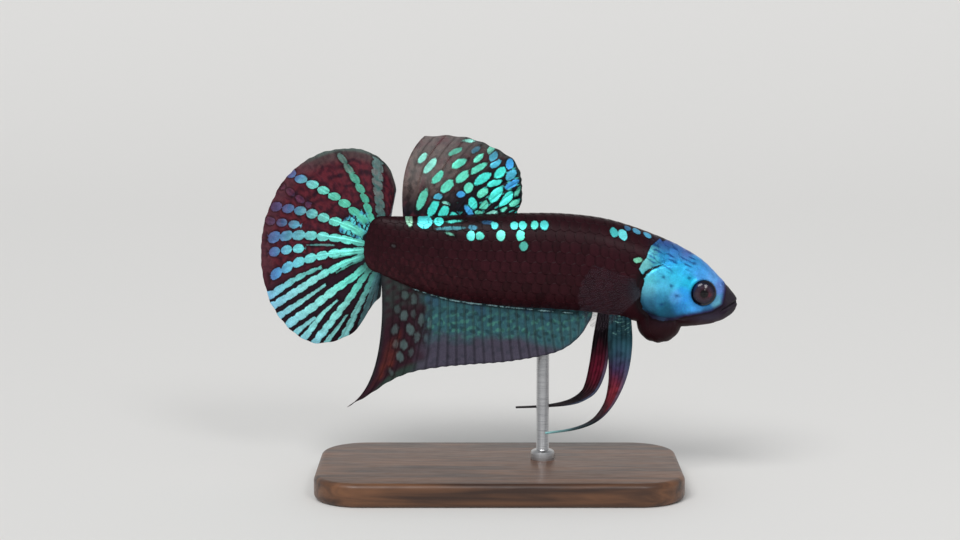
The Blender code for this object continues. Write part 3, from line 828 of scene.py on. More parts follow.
# Streaks of the caudal fin, from the top edge round to the bottom one. The angles are those
# at KNOTS of the fin's reach; the other pairs run from a streak's start to its end. beading is
# how deep the gaps between its beads cut in, and bead_at is where the middle of one bead is.
KNOTS = (0.3, 0.5, 0.7, 0.95)
Streak = namedtuple("Streak", "angles span widths tones strength beading bead_at")
STREAKS = [Streak(*row) for row in (
    ((96.5, 96.5, 96.5, 94.5), (0.26, 0.97), (1.2, 1.5), (0.58, 0.62), (0.40, 0.36), 0.4, 0.50),
    ((114, 111.5, 113, 116), (0.24, 0.76), (0.9, 1.2), (0.1, 0.2), (1.0, 0.75), 0.6, 0.60),
    ((114, 111.5, 113.5, 116), (0.74, 0.95), (1.1, 0.8), (0.4, 0.5), (0.55, 0.35), 0.5, 0.80),
    ((126.5, 131.5, 136.8, 141.8), (0.26, 1.0), (1.2, 1.35), (0.1, 1.1), (0.97, 0.75), 0.95, 0.51),
    ((149, 150, 151, 149.5), (0.70, 0.98), (0.9, 1.0), (1.1, 1.25), (0.35, 0.25), 1.0, 0.80),
    ((147, 153, 155.7, 160), (0.20, 0.99), (1.25, 1.4), (0.4, 1.25), (1.0, 0.6), 0.9, 0.46),
    ((163, 164, 165.5, 167.5), (0.70, 1.0), (1.2, 1.1), (0.82, 1.25), (0.85, 0.25), 1.0, 0.76),
    ((167.5, 169.7, 172, 176), (0.13, 0.945), (0.9, 1.6), (0.48, 1.03), (1.0, 0.75), 0.6, 0.70),
    ((176.5, 177.5, 178.8, 180), (0.40, 0.63), (0.25, 0.2), (0.6, 0.6), (0.6, 0.5), 0.0, 0.5),
    ((179.5, 180.3, 181, 183.3), (0.63, 0.935), (1.2, 1.3), (0.68, 1.08), (1.0, 0.75), 0.95, 0.69),
    ((185.5, 187, 190, 195.2), (0.13, 0.94), (0.9, 1.5), (0.5, 1.0), (1.0, 0.95), 0.6, 0.50),
    ((190.3, 191.5, 192, 192), (0.16, 0.42), (0.3, 0.25), (0.5, 0.5), (0.9, 0.7), 0.0, 0.5),
    ((196.5, 197.2, 199.3, 203), (0.52, 1.03), (0.5, 1.25), (0.6, 0.95), (0.75, 1.0), 0.35, 0.60),
    ((200.3, 203.1, 205.9, 208), (0.15, 1.03), (0.8, 1.15), (0.5, 0.91), (0.95, 1.0), 0.32, 0.52),
    ((206, 207.5, 208, 208), (0.18, 0.42), (0.3, 0.25), (0.45, 0.45), (0.8, 0.6), 0.0, 0.5),
    ((211.5, 212, 213, 213.4), (0.54, 1.03), (0.35, 1.05), (0.6, 0.87), (0.85, 1.0), 0.2, 0.6),
    ((222.8, 219.8, 219.8, 218.9), (0.16, 1.03), (0.95, 1.2), (0.45, 0.85), (1.0, 1.0), 0.28, 0.55),
    ((225.6, 225.6, 225.6, 224), (0.78, 1.03), (0.35, 0.9), (0.7, 0.78), (0.9, 0.95), 0.0, 0.5),
    ((228.2, 228.2, 226.8, 228.4), (0.56, 1.03), (0.35, 1.05), (0.55, 0.83), (0.95, 1.0), 0.2, 0.66),
    ((234, 235, 234, 233.7), (0.20, 1.03), (0.8, 1.15), (0.45, 0.83), (0.75, 1.1), 0.28, 0.60),
    ((240.5, 240.5, 240.3, 238.4), (0.70, 1.03), (0.3, 0.85), (0.6, 0.72), (0.8, 1.0), 0.1, 0.80),
    ((246, 246.3, 245.4, 245), (0.24, 1.03), (0.7, 1.1), (0.55, 0.70), (0.5, 1.0), 0.35, 0.60),
    ((253, 253, 252.5, 252), (0.26, 1.0), (0.7, 0.8), (0.7, 0.75), (0.42, 0.55), 0.3, 0.60),
    ((258, 258, 258, 258), (0.30, 1.0), (0.5, 0.5), (0.8, 0.8), (0.3, 0.5), 0.2, 0.60),
)]
BEAD_PITCH = 0.097  # the distance between two beads of a streak, as a share of the fin's reach


def streak_marking(streak, angle, distance, share, membrane):
    """How far inside a streak each place is, its tone, and its distance from the streak's line."""
    start, end = streak.span
    along = np.clip((share - start) / (end - start), 0, 1)
    centre = np.interp(share, KNOTS, streak.angles)
    off = np.abs(distance * np.sin(np.radians(angle - centre)))
    beat = to_whole((share - streak.bead_at) / BEAD_PITCH)
    bead = np.sqrt(np.maximum(1 - (beat / 0.46) ** 2, 0))
    depth = streak.beading
    if depth > 0.4:
        depth = between((0.3, depth), smooth(0.32, 0.46, share))
    width = between(streak.widths, along) * (1 - depth * (1 - bead))
    inside = least(width - off, (share - start) * 16, (end - share) * 20)
    # The lower streaks are paler, and every streak is dimmer where it leaves the body, as painted
    # shade along the body's edge.
    low = smooth(196, 206, centre)
    tone = ramp(IRIDESCENCE, between(streak.tones, along**2))
    tone = mix(tone, (180, 224, 230), 0.34 * low * smooth(0.4, 0.6, share))
    strength = np.clip(between(streak.strength, along), 0, 1)
    strength = strength * between((0.75 - 0.35 * low, 1), smooth(0.17, 0.33, share))
    return inside, mix(membrane, tone, strength**2), off


def caudal_membrane(angle, share, x, z):
    """The tone of the web between the tail's streaks."""
    upper = smooth(204, 186, angle)
    margin = smooth(0.86, 0.95, share)
    crest = smooth(140, 125, angle) * smooth(0.84, 0.93, share)
    blotch = smooth(-0.1, 0.8, wander(x, z, 2.6, 21)) * (0.25 + 0.75 * upper)
    # Dark arcs run across the upper fin, level with the gaps between the beads.
    arc = to_whole((share - 0.51 + 0.024 * wander(x, z, 6.0, 23)) / BEAD_PITCH)
    arc = smooth(0.15, 0.45, arc) * upper * smooth(0.36, 0.5, share)
    arc = arc * (0.35 + 0.65 * smooth(-0.6, 0.5, wander(x, z, 4.0, 25)))
    # The lowest corner, against the anal fin, is a dull slate blue.
    corner = smooth(249, 256, angle)
    return painted(
        (40, 20, 32),
        ((90, 33, 43), upper * smooth(0.25, 0.6, share)),
        ((84, 50, 58), 0.75 * margin * upper),
        ((70, 66, 64), 0.6 * crest),
        ((80, 108, 102), 0.55 * crest * smooth(0.95, 0.985, share)),
        ((42, 18, 30), 0.6 * blotch * (1 - 0.6 * margin)),
        ((34, 40, 48), 0.5 * smooth(0.34, 0.20, share)),
        ((30, 14, 26), 0.75 * arc * smooth(0.95, 0.88, share)),
        ((60, 84, 92), 0.8 * corner),
        ((30, 44, 52), 0.7 * corner * smooth(0.1, 0.8, wander(x, z, 2.2, 24))),
    )


def caudal_bars(angle, distance, share, x, z):
    """How far inside a place is of the bars that cross the rays where the fin leaves the body."""
    bars = distance / 1.35 + 0.05 * angle + 0.25 * wander(x, z, 2.4, 27)
    gaps = angle / 8.5 + 0.1 * wander(x, z, 3.0, 28)
    patch = least(25 - np.abs(angle - 136), (0.10 - np.abs(share - 0.30)) * 30)
    bars = least(0.50 - 1.25 * to_whole(bars + 0.5), 0.52 - 1.1 * to_whole(gaps + 0.5), 0.4 * patch)
    return bars - 0.15 * smooth(0.1, 0.7, wander(x, z, 2.0, 29))


def build_caudal(material):
    u, v = unit_grid(440, 150)
    angle = between(CAUDAL_REACH[[0, -1], 0], u)
    reach = spline_at(CAUDAL_REACH, angle)[0]
    low = smooth(196, 208, angle)
    scallop = 0.05 * np.cos(np.radians(80 * angle)) * (1 - low)
    scallop += low * (0.14 * wave((angle - 213.4) / 7.1 + 0.25) - 0.05)
    scallop += 0.12 * wander(angle, angle * 0, 9.0, 71)
    distance = between((CAUDAL_ROOT / reach, 1), v)
    distance = distance * (reach - 0.15 + scallop * smooth(0.7, 1.0, v))
    share = distance / reach
    x = CAUDAL_CENTRE[0] + distance * np.cos(np.radians(angle))
    z = CAUDAL_CENTRE[1] + distance * np.sin(np.radians(angle))

    upper = smooth(204, 186, angle)
    membrane = caudal_membrane(angle, share, x, z)
    blend, ridge = Blend(), 0
    for streak in STREAKS:
        inside, tone, off = streak_marking(streak, angle, distance, share, membrane)
        blend.add(inside, tone)
        # Each streak is a fin ray that has split in two.
        begun = smooth(streak.span[0] - 0.02, streak.span[0] + 0.1, share)
        ridge = np.maximum(ridge, begun * bell(off - 0.55 * smooth(0.45, 0.75, share), 0.26))
    bars = caudal_bars(angle, distance, share, x, z)
    blend.add(bars, mix((92, 208, 216), (62, 138, 176), smooth(-0.2, 0.6, wander(x, z, 3, 5))))
    glow = blend.tone() * (1 + 0.10 * wander(x, z, 2.0, 77))[..., None]

    bare = to_whole(angle / 5.2 + 0.5) * 5.2 * np.radians(distance)
    ridge = np.maximum(ridge, 0.7 * bell(bare, 0.22) * upper * smooth(0.2, 0.35, share))
    tint = mix(membrane, NAVY, 0.22 * ridge * upper)
    y = CAUDAL_CUP * ((2 * u - 1) * v) ** 2 + 0.18 * v * wave(11.5 * u)
    thickness = fin_thickness(0.16, 0.08, 0.15, share, ridge, smooth(0.97, 1, v))
    fin_plate(
        "caudal", "caudal_fin", "fin_turquoise", material, (x, y, z), thickness,
        tint=tint, glow=glow, mark=blend.mark, run=distance, ridge=ridge,
    )


def ray_sheet(rays, lean, cells):
    """u, v and the percent coordinates of a fin given by its rays, each bent at its middle point."""
    u, v = unit_grid(*cells)
    root_x, root_z, bend_x, bend_z, tip_x, tip_z = spline_at(rays, u)
    a, b, c = (1 - v) ** 2, 2 * v * (1 - v), v * v
    x = a * root_x + b * bend_x + c * tip_x
    z = a * root_z + b * bend_z + c * tip_z
    return u, v, x, lean * v * v, z


def ray_measures(x, z):
    """Length out along each ray, and the step from one end of the fin to the other, in percent."""
    out = np.hypot(np.gradient(x, axis=1), np.gradient(z, axis=1))
    step = np.hypot(np.gradient(x, axis=0), np.gradient(z, axis=0)) * (x.shape[0] - 1)
    return np.cumsum(out, axis=1), np.maximum(step, 0.5)


def oval(x, z, cells, u, v, half_length, half_width, slant):
    """How far inside an oval a place is; the oval's middle is at u and v of a fin's grid."""
    at = round(u * cells[0]), round(v * cells[1])
    return blob(x, z, (x[at], z[at]), half_length, half_width, slant)


def notched(x, z, v, ray, depth):
    """Draws the margin in a little between the rays."""
    squeeze = 1 - depth * smooth(0.84, 1.0, v) * (0.5 - 0.5 * wave(ray + 0.25))
    return x[:, :1] + (x - x[:, :1]) * squeeze, z[:, :1] + (z - z[:, :1]) * squeeze


# Beads of the dorsal fin: place u along the base and v out along the ray, half length,
# half width, slant in degrees, place in DORSAL_TONES and strength.
DORSAL_BEADS = (
    (0.06, 0.66, 1.7, 0.87, 50, 3, 1.0), (0.11, 0.58, 2.3, 1.1, 50, 3, 1.0),
    (0.165, 0.48, 2.1, 1.1, 45, 1, 1.0), (0.13, 0.22, 3.0, 1.2, 68, 1, 0.85),
    (0.24, 0.41, 2.2, 1.3, 42, 1, 1.0), (0.22, 0.14, 2.5, 1.2, 62, 2, 0.95),
    (0.22, 0.27, 1.2, 1.0, 30, 4, 0.9), (0.225, 0.69, 2.1, 1.1, 32, 1, 1.0),
    (0.17, 0.81, 1.9, 0.8, 25, 1, 0.6), (0.185, 0.97, 1.8, 0.5, 3, 3, 0.9),
    (0.29, 0.82, 1.7, 0.87, 40, 1, 0.75), (0.335, 0.70, 2.7, 0.92, 30, 1, 1.0),
    (0.29, 0.55, 2.4, 1.2, 40, 1, 1.0), (0.40, 0.61, 2.5, 1.2, 35, 2, 1.0),
    (0.37, 0.44, 1.5, 1.3, 60, 1, 1.0), (0.36, 0.34, 1.1, 0.97, 20, 5, 0.9),
    (0.305, 0.20, 1.2, 0.63, -25, 3, 0.9), (0.315, 0.10, 2.2, 1.3, 62, 2, 1.0),
    (0.41, 0.07, 1.8, 1.0, 45, 2, 1.0), (0.42, 0.12, 0.87, 0.68, -30, 4, 0.9),
    (0.485, 0.28, 1.7, 1.2, 110, 2, 0.95), (0.52, 0.14, 2.1, 0.87, -52, 5, 0.95),
    (0.475, 0.47, 1.7, 1.1, 35, 1, 1.0), (0.59, 0.30, 1.7, 1.1, 50, 1, 0.85),
    (0.605, 0.16, 1.4, 0.68, 10, 1, 0.9), (0.725, 0.16, 1.9, 0.72, 15, 3, 0.9),
    (0.585, 0.54, 2.6, 1.4, 48, 2, 1.0), (0.47, 0.66, 1.9, 0.92, 20, 2, 0.95),
    (0.44, 0.78, 1.9, 1.3, 45, 2, 1.0), (0.345, 0.90, 1.4, 1.2, 60, 4, 0.7),
    (0.385, 0.84, 1.8, 0.92, 35, 4, 0.95), (0.435, 0.93, 1.6, 1.2, 85, 5, 1.0),
    (0.485, 0.88, 1.8, 1.3, 55, 4, 1.0), (0.585, 0.84, 2.1, 1.0, 30, 5, 0.9),
    (0.71, 0.60, 2.6, 1.3, 55, 2, 1.0), (0.79, 0.70, 1.8, 0.87, 20, 1, 0.9),
    (0.775, 0.40, 1.4, 0.82, 35, 1, 0.9), (0.695, 0.90, 1.4, 0.68, 60, 1, 0.6),
    (0.245, 0.89, 1.4, 0.82, 30, 4, 0.35), (0.305, 0.97, 1.4, 0.87, 60, 1, 0.4),
    (0.445, 0.0, 2.2, 0.53, 8, 2, 0.9), (0.66, 0.04, 1.8, 0.5, 12, 4, 0.7),
)
DORSAL_TONES = {
    1: (104, 222, 194), 2: (80, 234, 220), 3: (144, 224, 208),
    4: (82, 184, 214), 5: (74, 172, 238),
}


def build_dorsal(material):
    cells, rays = (240, 120), 12
    u, v, x, y, z = ray_sheet(DORSAL_RAYS, DORSAL_LEAN, cells)
    length, step = ray_measures(x, z)
    ray = u * rays
    middle = to_whole(ray + 0.5) * step / rays
    forked = 0.6 * bell(middle, 0.18) * smooth(0.45, 0.65, v)
    ridge = np.maximum(bell(to_whole(ray) * step / rays, 0.24), forked)
    rear, hind = smooth(0.42, 0.12, u), smooth(0.5, 0.3, u)
    membrane = painted(
        (24, 20, 30),
        ((104, 86, 82), rear * smooth(0.05, 0.45, v)),
        ((86, 66, 66), 0.7 * smooth(0.55, 0.9, v) * hind),
        ((82, 34, 46), 0.7 * smooth(0.1, 0.8, wander(x, z, 4.0, 33)) * hind),
        ((38, 26, 30), 0.55 * smooth(0.0, 0.7, wander(x, z, 2.6, 31))),
        ((60, 88, 84), 0.4 * smooth(0.93, 0.98, v) * smooth(0.1, 0.2, u)),
    )
    blend, second = Blend(), UNMARKED
    for bead_u, bead_v, half_length, half_width, slant, tone, strength in DORSAL_BEADS:
        size = half_length * 1.04, half_width * 0.92
        inside = oval(x, z, cells, bead_u, bead_v, *size, slant)
        second = np.maximum(second, np.minimum(blend.mark, inside))
        blend.add(inside, mix(membrane, DORSAL_TONES[tone], strength))
    # A dark line parts two beads that touch, and faint rungs cross the bare web between the rays.
    mark = np.minimum(blend.mark, 0.7 * (blend.mark - second) - 0.2)
    rungs = 0.05 - middle + 0.25 * np.cos(2 * math.pi * length / 2.3 + 2.4 * np.floor(ray))
    rungs = np.minimum(rungs, 0.9 * smooth(0.35, 0.6, u) - 0.2)
    glow, mark = put(blend.tone(), mark, rungs, mix(membrane, (60, 190, 180), 0.55))
    glow = glow * (1 + 0.08 * wander(x, z, 1.6, 12))[..., None]
    x, z = notched(x, z, v, ray, 0.012)
    y = y + 0.16 * v * wave(ray)
    thickness = fin_thickness(0.17, 0.08, 0.14, v, ridge, smooth(0.96, 1, v))
    cover = 1 - 0.34 * rear * smooth(0.15, 0.5, v) * (1 - 0.7 * ridge)
    fin_plate(
        "dorsal", "dorsal_fin", "fin_turquoise", material, (x, y, z), thickness,
        tint=membrane, glow=glow, mark=mark, run=length, ridge=ridge, cover=cover,
    )


# Painted highlights: pale dashes along the anal fin's base, where it catches the light, from and to
# these places u, with their strength.
ANAL_BASE_HIGHLIGHTS = (
    (0.15, 0.18, 0.8), (0.20, 0.215, 0.5), (0.235, 0.27, 0.8), (0.28, 0.32, 0.9), (0.33, 0.38, 0.9),
    (0.39, 0.48, 1.0), (0.50, 0.55, 0.8), (0.565, 0.58, 0.5), (0.59, 0.68, 1.0), (0.69, 0.72, 0.6),
    (0.74, 0.82, 0.9), (0.86, 0.91, 0.5),
)
# Dull ovals on its hind part: place u and v, half length, half width, slant, strength.
ANAL_OVALS = (
    (0.105, 0.29, 1.6, 1.2, 80, 0.9), (0.147, 0.46, 1.8, 1.2, 120, 1.0),
    (0.128, 0.60, 1.5, 1.2, 100, 0.95), (0.122, 0.72, 1.6, 1.1, 110, 0.9),
    (0.058, 0.35, 1.6, 1.0, 70, 0.7), (0.080, 0.50, 1.3, 0.9, 80, 0.5),
    (0.062, 0.21, 1.2, 1.0, 90, 0.4), (0.105, 0.13, 1.3, 1.1, 90, 0.5),
    (0.155, 0.16, 1.6, 0.9, 90, 0.6), (0.155, 0.31, 1.3, 0.8, 90, 0.45),
    (0.195, 0.38, 1.9, 0.8, 84, 0.75), (0.185, 0.57, 1.6, 0.9, 80, 0.65),
    (0.170, 0.74, 1.4, 0.8, 75, 0.5), (0.235, 0.44, 1.5, 0.7, 88, 0.6),
    (0.225, 0.60, 1.3, 0.6, 85, 0.4), (0.100, 0.84, 1.2, 0.7, 120, 0.5),
)


def anal_base_highlights(u, length, rays):
    """How far a place is inside the pale dashes of painted highlight."""
    mark = UNMARKED
    for start, end, strength in ANAL_BASE_HIGHLIGHTS:
        dash = least(0.16 * strength - np.abs(length - 2.3), (u - start) * rays, (end - u) * rays)
        mark = np.maximum(mark, dash)
    return mark


def anal_front(v, x, z, ray, length, low):
    """The tone of the web in front: teal cells, and violet where the fin is low."""
    cell = wander(x, z, 2.2, 43) + 0.5 * np.sin(2 * math.pi * length / 2.1 + 2.3 * np.floor(ray + 0.5))
    return painted(
        (46, 84, 92),
        ((66, 62, 76), low),
        ((66, 122, 110), 0.75 * smooth(0.1, 1.0, cell) * bell(v - 0.46, 0.24) * (1 - low)),
        ((44, 70, 98), 0.5 * smooth(0.1, 0.8, wander(x, z, 7, 47)) * smooth(8, 3, length)),
        ((20, 36, 42), 0.55 * smooth(0.2, 0.9, wander(x, z, 2.6, 48)) * (1 - 0.6 * low)),
    )


def anal_rear(u, v, x, z):
    """The tone behind, where the fin is a dark net with a rust-red patch."""
    rust = smooth(0.015, 0.04, u) * smooth(0.12, 0.085, u) * smooth(0.36, 0.48, v)
    rust = rust * smooth(0.86, 0.72, v) * (0.65 + 0.35 * wander(x, z, 3.4, 50))
    return painted(
        (44, 20, 30),
        ((48, 58, 56), smooth(0.32, 0.12, v) * (0.6 + 0.4 * wander(x, z, 3, 49))),
        ((84, 36, 32), rust),
        ((30, 34, 38), 0.8 * smooth(0.022, 0.0, u) * smooth(0.8, 0.7, v)),
        ((34, 22, 26), 0.7 * smooth(0.86, 0.95, v) * smooth(0.08, 0.04, u)),
        ((40, 64, 56), 0.7 * smooth(0.84, 0.94, v) * smooth(0.05, 0.09, u)),
    )


def build_anal(material):
    cells, rays = (400, 110), 25
    u, v, x, y, z = ray_sheet(ANAL_RAYS, ANAL_LEAN, cells)
    length, step = ray_measures(x, z)
    ray = u * rays
    off = to_whole(ray) * step / rays
    ridge = bell(off - 0.30 * smooth(0.35, 0.7, v), 0.22)
    web = smooth(0.15, 0.55, off)
    hind = smooth(0.26, 0.17, u + 0.02 * wander(x, z, 5.0, 41))
    low = smooth(0.48, 0.74, v + 0.05 * wander(x, z, 6.0, 40) - 0.35 * smooth(0.62, 0.85, u))
    tone = anal_front(v, x, z, ray, length, low)
    tint = painted(tone * 0.6, (tone, web), ((70, 92, 92), 0.25 * ridge * (1 - low)))
    tint = mix(tint, anal_rear(u, v, x, z) * (0.75 + 0.25 * web)[..., None], hind)
    for *where_and_size, strength in ANAL_OVALS:
        inside = oval(x, z, cells, *where_and_size) + 0.12 * wander(x, z, 1.2, 52)
        tint = painted(
            tint,
            ((28, 14, 20), 0.7 * (0.4 + 0.6 * hind) * bell(inside + 0.15, 0.22)),
            ((80, 102, 102), 0.7 * strength * smooth(-0.12, 0.45, inside)),
        )
    tint = mix(tint, (36, 34, 42), 0.5 * smooth(0.96, 1.0, v) * (1 - hind))
    # The fin's only marking is the painted highlight along its base, in the pale glow tone given
    # below.
    mark = anal_base_highlights(u, length, rays)
    x, z = notched(x, z, v, ray, 0.008)
    y = y + 0.14 * smooth(0.0, 0.4, v) * wave(ray) + 0.3 * v * wave(3 * u)
    thickness = fin_thickness(0.18, 0.09, 0.14, v, ridge, smooth(0.96, 1, v))
    fin_plate(
        "anal", "anal_fin", "fin_teal", material, (x, y, z), thickness,
        tint=tint, glow=(140, 178, 184), mark=mark, run=length, ridge=ridge,
    )


def build_pectorals(material):
    root_x, root_y, root_z = PECTORAL_ROOT
    flare = math.radians(PECTORAL_FLARE)
    u, v = unit_grid(140, 70)
    angle = np.radians(between(PECTORAL_FAN, u))
    rays = 12
    ray = u * rays
    distance = PECTORAL_LENGTH * (1 - 0.22 * (2 * u - 1) ** 2 + 0.010 * wave(ray + 0.25)) * v
    back = distance * np.cos(angle) * math.cos(flare)
    out = distance * math.sin(flare) * (1 - 0.25 * v) + 0.10 * v * wave(ray)
    up = 1.6 * (1 - 2 * u) + distance * np.sin(angle)
    spacing = PECTORAL_LENGTH * v * math.radians(PECTORAL_FAN[1] - PECTORAL_FAN[0]) / rays
    off = to_whole(ray) * np.maximum(spacing, 0.3)
    ridge = bell(off - 0.22 * smooth(0.45, 0.8, v), 0.13)
    tint = mix((76, 66, 76), (46, 36, 44), ridge)
    tint = mix(tint, (52, 52, 60), smooth(0.5, 0.1, v))
    cover = 0.06 + 0.22 * ridge * (1 - 0.4 * v) + 0.5 * smooth(0.30, 0.02, v)
    thickness = 0.09 - 0.04 * v + 0.08 * ridge * (1.1 - 0.7 * v)
    for side, word in SIDES:
        sheet = (root_x + back, side * (root_y + out), root_z + up)
        fin_plate(
            f"pectoral_{word}", f"pectoral_fin_{word}", "fin_clear", material, sheet, thickness,
            tint=tint, glow=tint, mark=UNMARKED, run=distance, ridge=ridge,
            cover=np.clip(cover, 0, 0.9),
        )


PELVIC_TONES = {
    "right": (
        (0.0, (40, 78, 88)), (0.14, (42, 82, 94)), (0.22, (44, 72, 90)),
        (0.30, (60, 48, 80)), (0.38, (98, 36, 58)), (0.46, (122, 38, 50)),
        (0.55, (98, 32, 42)), (0.62, (60, 36, 42)), (0.72, (42, 38, 44)),
        (0.86, (54, 74, 78)), (1.0, (146, 204, 204)),
    ),
    "left": (
        (0.0, (20, 14, 20)), (0.15, (24, 12, 20)), (0.22, (76, 18, 36)),
        (0.30, (110, 24, 48)), (0.38, (96, 26, 44)), (0.46, (58, 26, 34)),
        (0.60, (34, 26, 30)), (1.0, (44, 40, 42)),
    ),
}


def build_pelvics(material):
    u, v = unit_grid(44, 260)
    length, rays = 50 * v, 5 * u
    outer = smooth(0.8, 0.6, v)
    for side, word in SIDES:
        rows = PELVIC_LINES[word]
        line = spline(rows, v)
        run = spline(rows, np.minimum(1, v + 0.02)) - spline(rows, np.maximum(0, v - 0.02))
        size = np.hypot(run[..., 0], run[..., 2])
        half_width = line[..., 3]
        offset = half_width * (1 - 0.93 * smooth(0.60, 1.0, v)) * (2 * u - 1)
        x = line[..., 0] - offset * run[..., 2] / size
        z = line[..., 2] + offset * run[..., 0] / size
        ridge = bell(to_whole(rays) * half_width * 0.4, 0.17)
        fold = 0.22 * wave(rays) * (1 - 0.6 * v) + 0.5 * wave(u / 2) * (1 - v)
        y = side * (line[..., 1] + fold)
        tint = ramp(PELVIC_TONES[word], v + 0.03 * wander(u * 4, v * 30, 3.0, 60))
        dark = smooth(0.35, 0.0, u) * smooth(0.06, 0.2, v) * smooth(0.95, 0.75, v)
        tint = painted(
            tint,
            ((84, 98, 124), 0.7 * smooth(0.70, 0.97, u) * smooth(0.15, 0.35, v) * outer),
            ((22, 12, 18), 0.65 * dark),
        )
        tint = mix(tint, tint * 0.5, 0.7 * smooth(0.1, 0.8, wander(u * 6, v * 40, 3.2, 64)) * outer)
        tint = mix(tint, tint * 0.8, ridge * smooth(0.85, 0.7, v))
        strokes = UNMARKED
        if word == "right":
            strokes = least(
                0.10 - 1.1 * to_whole(length + 1.4 * (2 * u - 1) ** 2 + 0.5),
                (0.045 - np.abs(v - 0.050)) * 8,
                0.05 + 0.5 * wander(u * 4, v * 50, 5.0, 62),
            )
        thickness = (0.26 - 0.08 * v + 0.10 * ridge) * (1 - 0.5 * np.abs(2 * u - 1) ** 3)
        fin_plate(
            f"pelvic_{word}", f"pelvic_fin_{word}", "fin_red", material, (x, y, z), thickness,
            tint=tint, glow=(116, 166, 160), mark=strokes, run=length, ridge=ridge,
        )


# ---------------------------------------------------------------- eyes
IRIS = (
    (0.0, (3, 1, 3)), (0.28, (6, 2, 5)), (0.33, (38, 12, 22)),
    (0.40, (46, 28, 38)), (0.56, (50, 36, 48)), (0.70, (36, 28, 44)),
    (0.79, (12, 14, 32)), (0.88, (6, 8, 18)), (1.0, (5, 6, 12)),
)


def eye_material():
    look = Look("eye", specular=0.2, coat=0.25, coat_roughness=0.04)
    fibres = look.noise(look.where(), GRAINS, 4.0)
    look.surface({
        "Base Color": look.scaled(look.own("tint", "Color"), look.spread(fibres, 0.65, 1.45)),
        "Roughness": look.spread(fibres, 0.08, 0.16),
    })
    return look.material


def build_eyes():
    material = eye_material()
    rings, sides = 64, 112
    count = rings * sides
    polar, turn = grid(np.linspace(0.004, math.pi, rings), circle(sides))
    disc = np.where(polar < math.pi / 2, np.sin(polar), 1.0)
    swell = 1 + 0.03 * smooth(0.36, 0.27, disc) - 0.03 * bell(disc - 0.58, 0.16)
    across, up = np.sin(polar) * np.cos(turn), np.sin(polar) * np.sin(turn)
    streaks = np.sin(37 * turn + 3 * np.sin(5 * turn)) * np.cos(23 * turn)
    red = bell(np.hypot(across - 0.42, up + 0.10), 0.17) * smooth(0.30, 0.38, disc)
    # Painted highlight: a blue glint on the upper rear of the dark ring round the iris.
    blue = bell(np.hypot(across + 0.55, up - 0.5), 0.4) * smooth(0.66, 0.8, disc)
    tint = ramp(IRIS, disc) * (1 + 0.25 * streaks * smooth(0.4, 0.5, disc))[..., None]
    tint = painted(tint, ((88, 22, 38), 0.8 * red), ((20, 44, 92), 0.6 * blue))
    tint = np.concatenate((tint.reshape(-1, 3), tint[0, :1]))
    for side, word in SIDES:
        low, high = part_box(f"eye_{word}")
        centre, radii = (low + high) / 2, (high - low) / 2
        y = centre.y + side * radii.y * np.cos(polar) * swell
        points = np.stack((centre.x + radii.x * across, y, centre.z + radii.z * up), -1)
        pole = (centre.x, centre.y + side * radii.y * 1.04, centre.z)
        points = np.concatenate((points.reshape(-1, 3), [pole]))
        faces = grid_faces(rings, sides, wrap=True)[:, ::-side]
        faces = [*faces, *fan(np.arange(sides)[::-side], count)]
        ball = mesh_object(f"eyeball_{word}", points, faces, {"tint": tint})
        finish_piece(ball, material, "eye", f"eye_{word}")


# ---------------------------------------------------------------- the stand
def wood_material():
    look = Look("walnut", specular=0.4, coat=0.15, coat_roughness=0.25)
    where = look.where(60.0, 700.0, 700.0)
    grain, pores = look.noise(where, 1.0, 7.0, 0.6), look.noise(where, 7.0, 3.0)
    look.surface({
        "Base Color": look.tones(grain, (0.32, light((52, 32, 22))), (0.68, light((112, 74, 48)))),
        "Roughness": look.spread(pores, 0.36, 0.52),
        "Normal": look.bump(pores, 0.4, 0.00004),
    })
    return look.material


def steel_material():
    look = Look("steel", specular=0.5, coat=0.0)
    turned = look.noise(look.where(300.0, 300.0, 16000.0), 1.0, 3.0)
    look.surface({
        "Base Color": look.tones(turned, (0.0, (0.40, 0.40, 0.41)), (1.0, (0.64, 0.64, 0.64))),
        "Roughness": look.spread(turned, 0.24, 0.40),
        "Metallic": 1.0,
    })
    return look.material


def ring(turn, centre, radius, height, straight=(0, 0)):
    """A level ring of points; straight is half the length of its flat sides in x and y."""
    c, s = np.cos(turn), np.sin(turn)
    x = centre.x + np.sign(c) * straight[0] + radius * c
    y = centre.y + np.sign(s) * straight[1] + radius * s
    return np.stack((x, y, np.full(turn.shape, height)), -1)


def closed_rings(name, rings):
    """A closed shape through rings of points, with flat ends."""
    count = len(rings[0])
    last = (len(rings) - 1) * count
    ends = (range(count)[::-1], range(last, last + count))
    faces = [*grid_faces(len(rings), count, wrap=True), *ends]
    made = mesh_object(name, rings, faces)
    made.data.set_sharp_from_angle(angle=math.radians(35))
    return made


